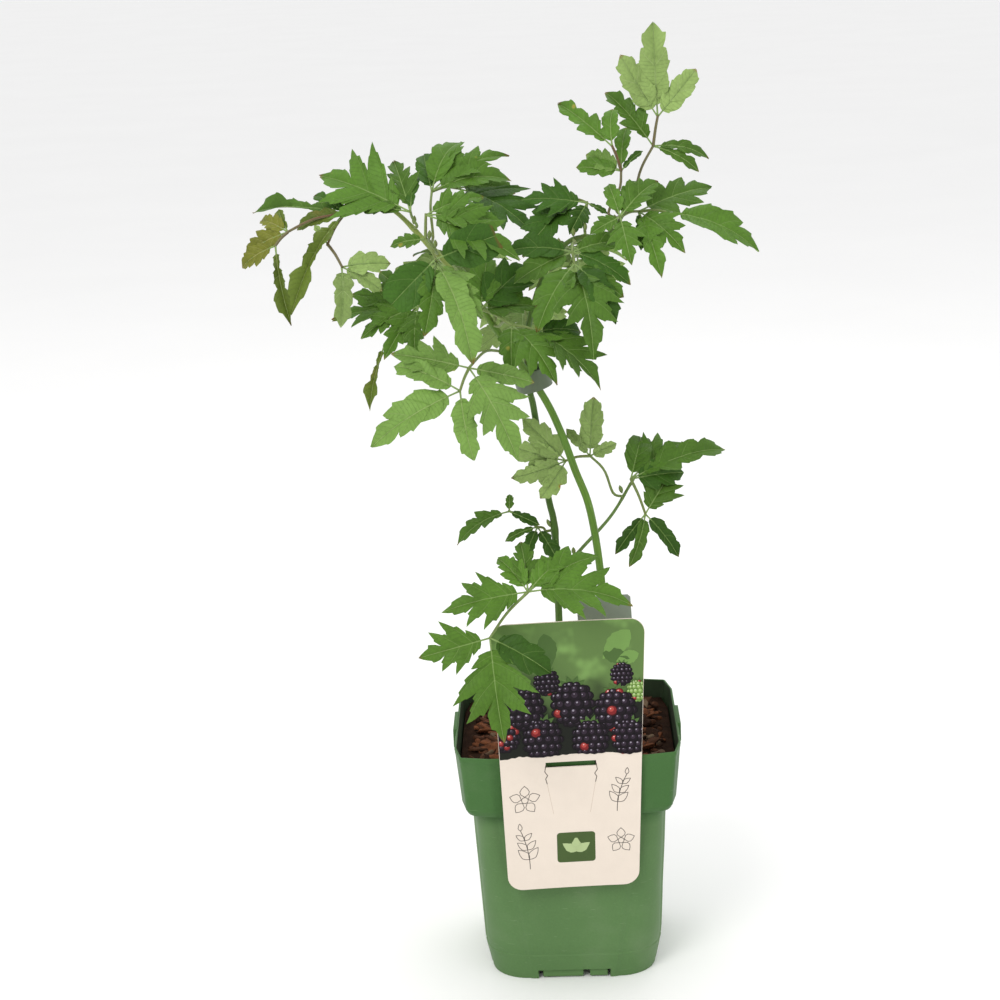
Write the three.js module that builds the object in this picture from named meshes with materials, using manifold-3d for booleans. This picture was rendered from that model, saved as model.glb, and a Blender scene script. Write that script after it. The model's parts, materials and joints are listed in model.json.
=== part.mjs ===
// Thornless evergreen bramble in a square green pot: two canes tied together, a low side shoot,
// and sprays of cut leaves. Millimetres, +Z up, the front of the pot faces -Y, and the origin is
// the middle of the pot's underside.
import * as THREE from "three";
import { mergeVertices } from "three/addons/utils/BufferGeometryUtils.js";
import Module from "manifold-3d";

const wasm = await Module();
wasm.setup();

// Driving dimensions: pot
const WALL = 1.2;
const RIM_HEIGHT = 152;
const RIM_HALF = 65;
const FLOOR_UNDER = 7.5;
const STEP_EXTRA = 0.6;
const LUG = { width: 32, height: 12, proud: 2, sunk: 1 };
const NOTCH = { width: 44, height: 6, depth: 16 };
const FEET = [{ from: -22, to: 5.5 }, { from: 10, to: 30 }];
const FOOT_DEPTH = 48;

// Outside of the pot from the ground up: half width, corner radius, place of the crease beside
// each corner, and how far the side bows out between the creases
const POT_LEVELS = [
  { z: 0, half: 50.6, corner: 23, crease: 25, bow: 0.8 },
  { z: 17, half: 53.6, corner: 24, crease: 27, bow: 1.2 },
  { z: 112.5, half: 57.5, corner: 13, crease: 40, bow: 1.6 },
  { z: 113.2, half: 61.4, corner: 8, crease: 44, bow: 2.2 },
  { z: 116.5, half: 62.4, corner: 5, crease: 45, bow: 2.6 },
  { z: RIM_HEIGHT, half: RIM_HALF, corner: 2.6, crease: 47, bow: 3.2 },
];
const CORNER_STEPS = 3;
const LEAST_CORNER = 0.8;
const CREASE_ROOM = 1;

// Driving dimensions: soil, card and tag
const CLEAR = 0.3;
const CUT_OFF = 0.4;
const SOIL = { top: 145, edge: 142, flatHalf: 55, gap: 0.5, stepUp: 0.2, neckIn: 0.4, edgeIn: 1.2 };
const CARD = { topHalf: 45, footHalf: 39.4, flare: 0.3, height: 174, thick: 0.8, corner: 9, arcSteps: 5 };
const CARD_SET = { x: 1.2, y: -65.5, z: 67.8, lean: 0.089, yaw: 0.07 };
const SLIT = { width: 30, height: 3.4, up: 80.6 };
const TAG = { width: 32, height: 100, thick: 0.8, corner: 1.5, x: 28.4, y: -50, roll: 0.045 };

// Driving dimensions: tie, an oval band round both canes
const TIE = { inX: 10, inY: 11.1, wall: 0.9, height: 12, arcSteps: 9 };
const TIE_SET = { x: -12.3, y: -3.6, z: 362.5, tilt: 0.26 };

// Canes: points on the centre line, radii from foot to tip, and the number of steps
const CANES = {
  main: {
    route: [
      [25.8, 0, SOIL.top + CUT_OFF], [25.6, 0, 195], [23.8, -3, 244.5], [18.2, -8, 287.2],
      [9.9, -13, 313.6], [1.6, -14, 338.7], [-8.9, -10, 360.8], [-31.9, -14, 397.4],
      [-51.1, -17, 428.3], [-73.7, -20, 455.9], [-90.3, -20, 473.4], [-101.3, -20, 475],
    ],
    radii: [3.4, 2.9, 2.8, 2.6, 2, 1.1],
    steps: 22,
  },
  second: {
    route: [
      [-2.5, 7, SOIL.top + CUT_OFF], [-2.6, 8, 200], [-3.4, 11, 268.1], [-7, 13, 291.9],
      [-13.7, 8, 346.5], [-15.6, 4, 358.6], [-16.7, 2, 378.6], [-15.5, 0, 397.2],
      [-8.7, -3, 421.5], [0.8, -3, 440.2], [13.5, 0, 450.5], [33, 0, 452.8], [43.8, 0, 465.4],
    ],
    radii: [3, 2.6, 2.4, 2.1, 1.7, 1.2],
    steps: 24,
  },
  shoot: {
    route: [[1.4, 11, 241], [9.7, 14, 253.4], [30.8, 20, 274.7], [44.3, 22, 295.4]],
    radii: [1.2, 1.1, 0.9],
    steps: 9,
  },
};
const CANE_SIDES = 7;

// Leaf blades: each vein is [place on the midrib, length of the vein], both as parts of the
// leaf's length. A long vein ends in a lobe and a short one in the cleft between two lobes.
const CUT = { veins: [[0.05, 0.2], [0.11, 0.44], [0.22, 0.18], [0.31, 0.4], [0.5, 0.17]] };
const LONG = { veins: [[0.06, 0.16], [0.15, 0.34], [0.34, 0.16], [0.42, 0.28]] };
const TOOTHED = { veins: [[0.07, 0.26], [0.2, 0.36], [0.46, 0.26]] };
const SLIM = { veins: [[0.1, 0.14], [0.45, 0.2]] };
const PLAIN = { veins: [[0.1, 0.3], [0.42, 0.27]] };
const VEIN_ANGLE = { far: 30, near: 50, fade: 0.08 };
const STALK = 0.12;

// Blades: their thickness, and the ranges in which the seeded numbers roll each one about its
// midrib, arch it along the midrib, fold it up beside the midrib, and widen each of its sides
const BLADE = {
  thick: 0.7,
  roll: [-0.25, 0.25],
  arch: [0.04, 0.14],
  fold: [0.12, 0.32],
  width: [0.85, 1.15],
};

// Points closer than MERGE to a flat run of their neighbours are merged after fusing, and points
// closer than WELD are one point
const MERGE = 0.2;
const WELD = 1e-4;

// Twigs: radii, how far a bud's stub stands straight out, where a twig bows up and by what part of
// its length, and how far it runs past its knot
const TWIG = { radius: 1.2, tip: 0.9, sides: 3, stub: 7, stubPart: 1 / 3, middle: 0.55, bow: 0.07 };
const TWIG_PAST = 0.9;
const TWIG_STEPS = { bud: 4, knot: 2 };
const PROBES = 400;

// Directions in which the fans below are drawn: from the front, and looking a little down
const LOOK_DOWN = THREE.MathUtils.degToRad(15);
const FRONT = {
  right: new THREE.Vector3(1, 0, 0),
  up: new THREE.Vector3(0, Math.sin(LOOK_DOWN), Math.cos(LOOK_DOWN)),
  near: new THREE.Vector3(0, -Math.cos(LOOK_DOWN), Math.sin(LOOK_DOWN)),
};
const MOST_LEAN = 0.9;

// An open leaf of five leaflets round its aim
function openFan(aim, reach) {
  return [
    [aim, reach, LONG],
    [aim - 50, reach * 0.84, PLAIN],
    [aim + 50, reach * 0.84, PLAIN],
    [aim - 104, reach * 0.62, PLAIN],
    [aim + 104, reach * 0.62, PLAIN],
  ];
}

// Sprays: the cane each grows on, the place of its bud, and its knots. A knot is where leaflets
// meet: its place, the knot it hangs on (-1 is the bud), the way its blades face (degrees turned
// from the front, degrees lifted from level), and its fan of [direction, reach, blade]. A knot
// marked own has its fan drawn in the plane of its blades, the others as seen from the front.
const SPRAYS = [
  {
    name: "spray_arch_tip", cane: "main", bud: [-101.3, -20, 475], seed: 11,
    knots: [
      {
        at: [-119, -20, 473], on: -1, turn: -20, lift: 48,
        fan: [[194, 30, TOOTHED], [172, 58, SLIM], [121, 18, SLIM], [144, 24, SLIM], [243, 66, LONG]],
      },
      {
        at: [-152, -25, 464], on: 0, turn: -30, lift: 35,
        fan: [[203, 29, TOOTHED], [151, 20, TOOTHED], [114, 17, SLIM]],
      },
      { at: [-159, -30, 457], on: 1, turn: -25, lift: 30, fan: [[208, 24, TOOTHED], [281, 48, SLIM]] },
      { at: [-128, -38, 458], on: 0, turn: 10, lift: 25, fan: [[123, 14, SLIM]] },
      {
        at: [-120, -45, 446], on: 3, turn: 10, lift: 25,
        fan: [[4, 28, TOOTHED], [269, 35, TOOTHED], [328, 27, TOOTHED]],
      },
    ],
  },
  {
    name: "spray_crest", cane: "main", bud: [-80, -20, 463], seed: 23,
    knots: [
      {
        at: [-80, -32, 474], on: -1, turn: -15, lift: 42,
        fan: [[153, 63, CUT], [107, 36, TOOTHED], [81, 23, TOOTHED], [170, 42, SLIM]],
      },
    ],
  },
  {
    name: "spray_front", cane: "main", bud: [-68, -19, 449], seed: 37,
    knots: [
      { at: [-71, -52, 461], on: -1, turn: -10, lift: 40, fan: [[188, 21, TOOTHED]] },
      {
        at: [-70, -55, 475], on: 0, turn: 12, lift: 45,
        fan: [[20, 35, TOOTHED], [334, 59, CUT], [354, 44, TOOTHED]],
      },
      {
        at: [-65, -64, 450], on: 0, turn: 5, lift: 30,
        fan: [[20, 31, TOOTHED], [228, 28, TOOTHED], [261, 43, TOOTHED], [308, 42, LONG], [289, 62, LONG]],
      },
    ],
  },
  {
    name: "spray_back_crest", cane: "main", bud: [-71, -20, 453], seed: 41,
    knots: [
      {
        at: [-70, 20, 479], on: -1, turn: -5, lift: 50,
        fan: [[64, 36, CUT], [102, 25, TOOTHED], [27, 50, CUT], [8, 47, TOOTHED]],
      },
      {
        at: [-56, 38, 478], on: 0, turn: 15, lift: 55,
        fan: [[357, 34, TOOTHED], [326, 60, CUT]],
      },
    ],
  },
  {
    name: "spray_left", cane: "main", bud: [-55, -17, 433], seed: 53,
    knots: [
      {
        at: [-78, -33, 419], on: -1, turn: -10, lift: 42,
        fan: [
          [135, 34, TOOTHED], [166, 42, TOOTHED], [184, 52, CUT], [206, 38, TOOTHED],
          [236, 36, TOOTHED], [266, 30, TOOTHED],
        ],
      },
      { at: [-98, -38, 399], on: 0, turn: -20, lift: 30, fan: [[255, 40, SLIM]] },
    ],
  },
  {
    name: "spray_hanging", cane: "main", bud: [-28, -14, 392], seed: 67,
    knots: [
      {
        at: [-48.9, -66, 388.7], on: -1, turn: 0, lift: 30,
        fan: [[167, 45, CUT], [346, 36, TOOTHED], [297, 58, CUT]],
      },
      {
        at: [-54.2, -74, 377.3], on: 0, turn: -8, lift: 30,
        fan: [[158, 40, TOOTHED], [209, 60, CUT], [279, 38, TOOTHED]],
      },
    ],
  },
  {
    name: "spray_middle", cane: "main", bud: [-35, -15, 403], seed: 71,
    knots: [
      { at: [-24, -48, 409], on: -1, turn: 5, lift: 40, fan: [[306, 41, CUT], [271, 21, SLIM]] },
      { at: [-10, -53, 406], on: 0, turn: 20, lift: 40, fan: [[318, 49, CUT], [1, 22, SLIM]] },
      {
        at: [-42, -38, 417], on: 0, turn: 0, lift: 35,
        fan: [[82, 28, TOOTHED], [43, 36, CUT], [4, 25, TOOTHED]],
      },
    ],
  },
  {
    name: "spray_right_hanging", cane: "second", bud: [13, 0, 450.5], seed: 83,
    knots: [
      {
        at: [12, -28, 447], on: -1, turn: 5, lift: 42,
        fan: [[173, 31, TOOTHED], [193, 22, TOOTHED], [15, 22, TOOTHED], [326, 31, TOOTHED]],
      },
      {
        at: [13, -35, 441], on: 0, turn: 5, lift: 38,
        fan: [[326, 29, TOOTHED], [241, 38, CUT], [301, 40, TOOTHED], [280, 56, CUT]],
      },
    ],
  },
  {
    name: "spray_inner", cane: "second", bud: [20, 0, 451.6], seed: 97,
    knots: [
      {
        at: [21.9, 12, 469.9], on: -1, turn: 0, lift: 45,
        fan: [[173, 40, CUT], [240, 22, TOOTHED], [329, 14, SLIM]],
      },
      { at: [14.3, 20, 471], on: 0, turn: -10, lift: 45, fan: [[214, 28, TOOTHED], [226, 44, TOOTHED]] },
    ],
  },
  {
    name: "spray_top", cane: "second", bud: [43.8, 0, 465.4], seed: 101,
    knots: [
      {
        at: [62, 20, 501], on: -1, turn: 10, lift: 35,
        fan: [[127, 45, CUT], [348, 34, SLIM], [330, 31, SLIM]],
      },
      {
        at: [65, 20, 518], on: 0, turn: -8, lift: 15,
        fan: [[93, 57, LONG], [112, 37, LONG], [49, 36, LONG]],
      },
    ],
  },
  {
    name: "spray_upper_left", cane: "second", bud: [41, 0, 461], seed: 113,
    knots: [
      {
        at: [42, -5, 490], on: -1, turn: -10, lift: 40,
        fan: [[82, 29, TOOTHED], [44, 18, SLIM], [149, 24, TOOTHED], [170, 27, TOOTHED]],
      },
      { at: [37, -12, 505], on: 0, turn: -15, lift: 35, fan: [[135, 44, CUT], [88, 23, TOOTHED]] },
    ],
  },
  {
    name: "spray_right", cane: "second", bud: [38, 0, 457], seed: 127,
    knots: [
      {
        at: [40, -32, 467], on: -1, turn: 0, lift: 42,
        fan: [[106, 20, TOOTHED], [67, 22, TOOTHED], [44, 30, TOOTHED], [280, 29, CUT], [208, 20, TOOTHED]],
      },
      {
        at: [51, -20, 468], on: 0, turn: 15, lift: 45,
        fan: [[21, 48, CUT], [316, 36, CUT], [286, 41, TOOTHED], [272, 23, SLIM]],
      },
      { at: [68, -22, 467], on: 1, turn: 15, lift: 42, fan: [[337, 57, CUT]] },
    ],
  },
  {
    name: "spray_low_middle", cane: "shoot", bud: [39, 21, 287], seed: 131,
    knots: [
      {
        at: [19.3, 6, 317.3], on: -1, turn: 0, lift: 12,
        fan: [[85, 35, TOOTHED], [129, 21, SLIM], [24, 17, TOOTHED]],
      },
      {
        at: [4.7, 0, 316.2], on: 0, turn: 0, lift: 10,
        fan: [[137, 36, TOOTHED], [164, 38, TOOTHED], [193, 33, TOOTHED], [230, 24, TOOTHED]],
      },
    ],
  },
  {
    name: "spray_low_right", cane: "shoot", bud: [44.3, 22, 295.4], seed: 149,
    knots: [
      {
        at: [44, 14, 300], on: -1, turn: 15, lift: 40,
        fan: [[74, 26, TOOTHED], [34, 40, TOOTHED], [17, 64, CUT], [6, 30, TOOTHED]],
      },
      {
        at: [52, 5, 280], on: 0, turn: 15, lift: 30,
        fan: [[305, 26, TOOTHED], [241, 25, SLIM], [230, 30, SLIM], [55, 28, TOOTHED]],
      },
    ],
  },
  {
    name: "spray_low_left", cane: "second", bud: [-4, 11, 270], seed: 151,
    knots: [
      {
        at: [-14, 12, 272], on: -1, turn: -10, lift: 40,
        fan: [[201, 20, SLIM], [248, 22, TOOTHED], [300, 25, TOOTHED]],
      },
      {
        at: [-31, 10, 283], on: 0, turn: -15, lift: 42,
        fan: [[209, 37, CUT], [88, 10, TOOTHED], [335, 19, TOOTHED]],
      },
    ],
  },
  {
    name: "spray_skirt", cane: "shoot", bud: [8, 13.4, 251], seed: 163,
    knots: [
      {
        at: [-19.8, -82, 259.6], on: -1, turn: 0, lift: 48,
        fan: [
          [190, 51, CUT], [130, 27, TOOTHED], [97, 30, TOOTHED], [40, 32, TOOTHED],
          [27, 46, TOOTHED], [353, 61, CUT],
        ],
      },
      {
        at: [-42.2, -97, 237.4], on: 0, turn: -5, lift: 28,
        fan: [[194, 43, CUT], [330, 40, TOOTHED], [276, 59, CUT]],
      },
    ],
  },
  {
    name: "spray_back_left", cane: "main", bud: [-47, -17, 422], seed: 173,
    knots: [
      { at: [-62, 20, 436], on: -1, turn: 190, lift: 55, own: true, fan: openFan(290, 44) },
      { at: [-54, 52, 428], on: 0, turn: 175, lift: 40, own: true, fan: openFan(270, 50) },
    ],
  },
  {
    name: "spray_back_right", cane: "second", bud: [5, -2, 444], seed: 181,
    knots: [
      { at: [10, 38, 440], on: -1, turn: 165, lift: 55, own: true, fan: openFan(250, 44) },
      { at: [16, 66, 430], on: 0, turn: 180, lift: 40, own: true, fan: openFan(268, 50) },
    ],
  },
  {
    name: "spray_back_middle", cane: "second", bud: [-15.6, 0.4, 395], seed: 191,
    knots: [
      { at: [-18, 34, 404], on: -1, turn: 180, lift: 55, own: true, fan: openFan(272, 42) },
      { at: [-20, 60, 392], on: 0, turn: 182, lift: 35, own: true, fan: openFan(270, 48) },
    ],
  },
  {
    name: "spray_back_low", cane: "second", bud: [-2.6, 7, 182], seed: 199,
    knots: [
      { at: [8, 44, 190], on: -1, turn: 185, lift: 62, own: true, fan: openFan(275, 40) },
    ],
  },
];

// A seeded row of numbers from 0 to 1
function numbers(seed) {
  let state = seed;
  return () => {
    state = (Math.imul(state, 1664525) + 1013904223) >>> 0;
    return state / 4294967296;
  };
}

// Solids from triangles and back
function solidFrom(geometry) {
  const bare = geometry.clone();
  bare.deleteAttribute("normal");
  bare.deleteAttribute("uv");
  const merged = mergeVertices(bare, WELD);
  return new wasm.Manifold(new wasm.Mesh({
    numProp: 3,
    vertProperties: new Float32Array(merged.attributes.position.array),
    triVerts: new Uint32Array(merged.index.array),
  }));
}

function geometryFrom(solid) {
  const mesh = solid.getMesh();
  const geometry = new THREE.BufferGeometry();
  geometry.setAttribute("position", new THREE.BufferAttribute(mesh.vertProperties, 3));
  geometry.setIndex(new THREE.BufferAttribute(mesh.triVerts, 1));
  return geometry;
}

// A closed skin over rings with equal counts of points, each ring anticlockwise seen from ahead
function loft(rings) {
  const count = rings[0].length;
  const points = rings.flat();
  const index = [];
  for (let ring = 0; ring + 1 < rings.length; ring += 1) {
    for (let k = 0; k < count; k += 1) {
      const next = (k + 1) % count;
      const a = ring * count + k;
      const b = ring * count + next;
      index.push(a, b, b + count, a, b + count, a + count);
    }
  }
  const ends = [[0, -1], [rings.length - 1, 1]];
  for (const [ring, side] of ends) {
    const middle = points.length;
    const centre = new THREE.Vector3();
    rings[ring].forEach((point) => centre.addScaledVector(point, 1 / count));
    points.push(centre);
    for (let k = 0; k < count; k += 1) {
      const a = ring * count + k;
      const b = ring * count + ((k + 1) % count);
      index.push(middle, side > 0 ? a : b, side > 0 ? b : a);
    }
  }
  const geometry = new THREE.BufferGeometry().setFromPoints(points);
  geometry.setIndex(index);
  return geometry;
}

// Pot

// A square outline with rounded corners, a crease beside each corner and bowed sides
function potRing({ z, half, corner, crease, bow }) {
  const ring = [];
  const centre = half - corner;
  for (let side = 0; side < 4; side += 1) {
    const quarter = [new THREE.Vector3(half + bow, crease, z)];
    for (let step = 0; step <= CORNER_STEPS; step += 1) {
      const angle = (step / CORNER_STEPS) * (Math.PI / 2);
      const x = centre + corner * Math.cos(angle);
      const y = centre + corner * Math.sin(angle);
      quarter.push(new THREE.Vector3(x, y, z));
    }
    quarter.push(new THREE.Vector3(crease, half + bow, z));
    const turn = new THREE.Matrix4().makeRotationZ((side * Math.PI) / 2);
    ring.push(...quarter.map((point) => point.applyMatrix4(turn)));
  }
  return ring;
}

// The same outline moved in by a distance and put at another height
function inside(level, distance, z) {
  const half = level.half - distance;
  const corner = Math.max(level.corner - distance, LEAST_CORNER);
  const crease = Math.min(level.crease, half - corner - CREASE_ROOM);
  return { z, half, corner, crease, bow: level.bow };
}

function potSolid() {
  const [ground, low, underShelf, shelf, overShelf, rim] = POT_LEVELS;
  const profile = [
    inside(ground, WALL, FLOOR_UNDER),
    inside(ground, WALL, 0),
    ...POT_LEVELS,
    inside(rim, WALL, rim.z),
    inside(overShelf, WALL, overShelf.z + WALL),
    inside(shelf, WALL + STEP_EXTRA, shelf.z + WALL),
    inside(underShelf, WALL, underShelf.z + WALL),
    inside(low, WALL, low.z),
    inside(ground, WALL, FLOOR_UNDER + WALL),
  ];
  let pot = solidFrom(loft(profile.map(potRing)));
  for (let side = 0; side < 4; side += 1) {
    const turn = new THREE.Matrix4().makeRotationZ((side * Math.PI) / 2);
    const notch = new THREE.BoxGeometry(NOTCH.width, NOTCH.depth, NOTCH.height * 2);
    notch.translate(0, -ground.half, 0);
    pot = pot.subtract(solidFrom(notch.applyMatrix4(turn)));
    const thick = LUG.proud + LUG.sunk;
    const lug = new THREE.BoxGeometry(LUG.width, thick, LUG.height);
    const face = rim.half + rim.bow + LUG.proud;
    lug.translate(0, -face + thick / 2, RIM_HEIGHT - LUG.height / 2);
    pot = pot.add(solidFrom(lug.applyMatrix4(turn)));
  }
  for (const { from, to } of FEET) {
    const tall = FLOOR_UNDER + WALL / 2;
    const foot = new THREE.BoxGeometry(to - from, FOOT_DEPTH, tall);
    foot.translate((from + to) / 2, 0, tall / 2);
    pot = pot.add(solidFrom(foot));
  }
  return pot;
}

// Soil that fills the pot, a little heaped
function soilGeometry() {
  const [ground, low, underShelf, shelf, overShelf, rim] = POT_LEVELS;
  const gap = WALL + SOIL.gap;
  return loft([
    inside(ground, gap, FLOOR_UNDER + gap),
    inside(low, gap, low.z),
    inside(underShelf, gap, underShelf.z + gap),
    inside(shelf, gap + STEP_EXTRA, shelf.z + gap + SOIL.stepUp),
    inside(overShelf, gap + SOIL.neckIn, overShelf.z + gap),
    inside(rim, gap + SOIL.edgeIn, SOIL.edge),
    inside(rim, rim.half - SOIL.flatHalf, SOIL.top),
  ].map(potRing));
}

// Card with rounded corners, wider at its head, with the slit that hangs it on the front lug
function cardGeometry() {
  const { topHalf, footHalf, flare, height, corner, thick } = CARD;
  const shape = new THREE.Shape();
  shape.moveTo(-footHalf + corner, 0);
  shape.lineTo(footHalf - corner, 0);
  shape.quadraticCurveTo(footHalf, 0, footHalf + flare, corner);
  shape.lineTo(topHalf - flare, height - corner);
  shape.quadraticCurveTo(topHalf, height, topHalf - corner, height);
  shape.lineTo(-topHalf + corner, height);
  shape.quadraticCurveTo(-topHalf, height, -topHalf + flare, height - corner);
  shape.lineTo(-footHalf - flare, corner);
  shape.quadraticCurveTo(-footHalf, 0, -footHalf + corner, 0);
  const slit = new THREE.Path();
  slit.moveTo(-SLIT.width / 2, SLIT.up);
  slit.lineTo(-SLIT.width / 2, SLIT.up + SLIT.height);
  slit.lineTo(SLIT.width / 2, SLIT.up + SLIT.height);
  slit.lineTo(SLIT.width / 2, SLIT.up);
  shape.holes.push(slit);
  const settings = { depth: thick, bevelEnabled: false, curveSegments: CARD.arcSteps };
  return new THREE.ExtrudeGeometry(shape, settings);
}

// Plain plastic tag that stands in the soil behind the card
function tagGeometry() {
  const { width, height, thick, corner } = TAG;
  const shape = new THREE.Shape();
  shape.moveTo(-width / 2, 0);
  shape.lineTo(width / 2, 0);
  shape.lineTo(width / 2, height - corner);
  shape.lineTo(width / 2 - corner, height);
  shape.lineTo(-width / 2 + corner, height);
  shape.lineTo(-width / 2, height - corner);
  return new THREE.ExtrudeGeometry(shape, { depth: thick, bevelEnabled: false });
}

// Band that ties the two canes together
function tieGeometry() {
  const shape = new THREE.Shape();
  shape.absellipse(0, 0, TIE.inX + TIE.wall, TIE.inY + TIE.wall, 0, Math.PI * 2, false, 0);
  const hole = new THREE.Path();
  hole.absellipse(0, 0, TIE.inX, TIE.inY, 0, Math.PI * 2, false, 0);
  shape.holes.push(hole);
  const settings = { depth: TIE.height, bevelEnabled: false, curveSegments: TIE.arcSteps };
  return new THREE.ExtrudeGeometry(shape, settings);
}

// Limbs

const vector = (point) => new THREE.Vector3(...point);

function curveThrough(points) {
  return new THREE.CatmullRomCurve3(points, false, "catmullrom", 0.5);
}

// The radius at a part of the way along a limb, between the radii listed for it
function radiusAt(radii, part) {
  const place = part * (radii.length - 1);
  const below = Math.min(Math.floor(place), radii.length - 2);
  return THREE.MathUtils.lerp(radii[below], radii[below + 1], place - below);
}

// A tapering limb: a ring of points carried along a curve without twisting
function limb(points, radii, sides, steps) {
  const curve = curveThrough(points);
  const rings = [];
  const first = curve.getTangent(0);
  const mostlyX = Math.abs(first.x) > Math.hypot(first.y, first.z);
  let across = mostlyX ? new THREE.Vector3(0, 1, 0) : new THREE.Vector3(1, 0, 0);
  for (let step = 0; step <= steps; step += 1) {
    const part = step / steps;
    const centre = curve.getPoint(part);
    const along = curve.getTangent(part);
    across = across.clone().addScaledVector(along, -across.dot(along)).normalize();
    const third = along.clone().cross(across);
    const ring = [];
    for (let k = 0; k < sides; k += 1) {
      const angle = (k / sides) * Math.PI * 2;
      const radius = radiusAt(radii, part);
      ring.push(centre.clone()
        .addScaledVector(across, radius * Math.cos(angle))
        .addScaledVector(third, radius * Math.sin(angle)));
    }
    rings.push(ring);
  }
  return loft(rings);
}

// The bud of a spray: the nearest place on its cane, and the way out from the cane's skin
function budOn(cane, near, toward) {
  const curve = curveThrough(cane.route.map(vector));
  let best = 0;
  let least = Infinity;
  for (let k = 0; k <= PROBES; k += 1) {
    const distance = curve.getPoint(k / PROBES).distanceTo(near);
    if (distance < least) {
      least = distance;
      best = k / PROBES;
    }
  }
  const centre = curve.getPoint(best);
  const along = curve.getTangent(best);
  if (best === 1) {
    return { start: centre.addScaledVector(along, CLEAR), out: along };
  }
  const out = toward.clone().sub(centre);
  out.addScaledVector(along, -out.dot(along)).normalize();
  const skin = radiusAt(cane.radii, best) + CLEAR;
  return { start: centre.addScaledVector(out, skin), out };
}

// Leaves

// The outward normal of blades turned from the front and lifted from level
function facing({ turn, lift }) {
  const around = THREE.MathUtils.degToRad(turn);
  const rise = THREE.MathUtils.degToRad(lift);
  return new THREE.Vector3(
    Math.sin(around) * Math.cos(rise),
    -Math.cos(around) * Math.cos(rise),
    Math.sin(rise),
  );
}

// The step from a knot to a leaflet's tip. As seen from the front, the step is drawn in the
// picture and then leaned along the line of sight into the plane of the blades.
function stepToTip(knot, normal, direction, reach) {
  const angle = THREE.MathUtils.degToRad(direction);
  if (knot.own) {
    const right = new THREE.Vector3(0, 0, 1).cross(normal).normalize();
    const slope = normal.clone().cross(right);
    return right.multiplyScalar(reach * Math.cos(angle)).addScaledVector(slope, reach * Math.sin(angle));
  }
  const flat = FRONT.right.clone().multiplyScalar(Math.cos(angle));
  flat.addScaledVector(FRONT.up, Math.sin(angle));
  const lean = THREE.MathUtils.clamp(
    -flat.dot(normal) / FRONT.near.dot(normal), -MOST_LEAN, MOST_LEAN,
  );
  return flat.addScaledVector(FRONT.near, lean).multiplyScalar(reach);
}

// One side of a blade's outline, from the veins, as parts of the leaf's length
function bladeEdge(veins, scale) {
  return veins.map(([place, length]) => {
    const degrees = VEIN_ANGLE.far + VEIN_ANGLE.near * Math.exp(-place / VEIN_ANGLE.fade);
    const angle = THREE.MathUtils.degToRad(degrees);
    const reach = length * scale;
    const ahead = STALK + (1 - STALK) * (place + reach * Math.cos(angle));
    return new THREE.Vector2(ahead, reach * Math.sin(angle));
  });
}

// A leaflet: two skins over the same outline, arched along the midrib and folded up beside it
function leaflet(base, step, normal, blade, random) {
  const length = step.length();
  const along = step.clone().normalize();
  const within = ([least, most]) => THREE.MathUtils.lerp(least, most, random());
  const roll = within(BLADE.roll);
  const arch = within(BLADE.arch);
  const fold = within(BLADE.fold);
  const face = normal.clone().addScaledVector(along, -normal.dot(along)).normalize();
  face.applyAxisAngle(along, roll);
  const side = face.clone().cross(along);
  const high = bladeEdge(blade.veins, within(BLADE.width));
  const low = bladeEdge(blade.veins, within(BLADE.width)).map((p) => new THREE.Vector2(p.x, -p.y));
  const root = new THREE.Vector2(0, 0);
  const tip = new THREE.Vector2(1, 0);
  const middle = new THREE.Vector2(0.5, 0);
  const outline = [root, ...low, tip, ...high.reverse()];
  const points = [...outline, middle];
  const count = outline.length;
  const lowHalf = [...Array(low.length + 2).keys(), count];
  const highHalf = [0, count, ...Array.from({ length: high.length + 1 }, (_, k) => low.length + 1 + k)];
  const faces = [];
  for (const half of [lowHalf, highHalf]) {
    const contour = half.map((k) => points[k]);
    for (const triangle of THREE.ShapeUtils.triangulateShape(contour, [])) {
      faces.push(triangle.map((k) => half[k]));
    }
  }
  const place = (point, lift) => {
    const height = arch * 4 * point.x * (1 - point.x) + fold * Math.abs(point.y);
    return base.clone()
      .addScaledVector(along, length * point.x)
      .addScaledVector(side, length * point.y)
      .addScaledVector(face, length * height + lift);
  };
  const top = points.map((point) => place(point, BLADE.thick / 2));
  const under = points.map((point) => place(point, -BLADE.thick / 2));
  const total = points.length;
  const index = [];
  for (const [a, b, c] of faces) {
    index.push(a, b, c, total + c, total + b, total + a);
  }
  for (let k = 0; k < count; k += 1) {
    const next = (k + 1) % count;
    index.push(total + k, total + next, next, total + k, next, k);
  }
  const geometry = new THREE.BufferGeometry().setFromPoints([...top, ...under]);
  geometry.setIndex(index);
  return solidFrom(geometry);
}

// A twig from one point to another, bowed a little upwards
function twig(start, out, end, radius) {
  const way = end.clone().sub(start);
  const route = [start];
  if (out) {
    const stub = Math.min(TWIG.stub, way.length() * TWIG.stubPart);
    route.push(start.clone().addScaledVector(out, stub));
  }
  const rise = new THREE.Vector3(0, 0, TWIG.bow * way.length());
  route.push(start.clone().lerp(end, TWIG.middle).add(rise));
  route.push(end.clone().addScaledVector(way.normalize(), TWIG_PAST));
  const steps = out ? TWIG_STEPS.bud : TWIG_STEPS.knot;
  return solidFrom(limb(route, [radius, TWIG.tip], TWIG.sides, steps));
}

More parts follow.
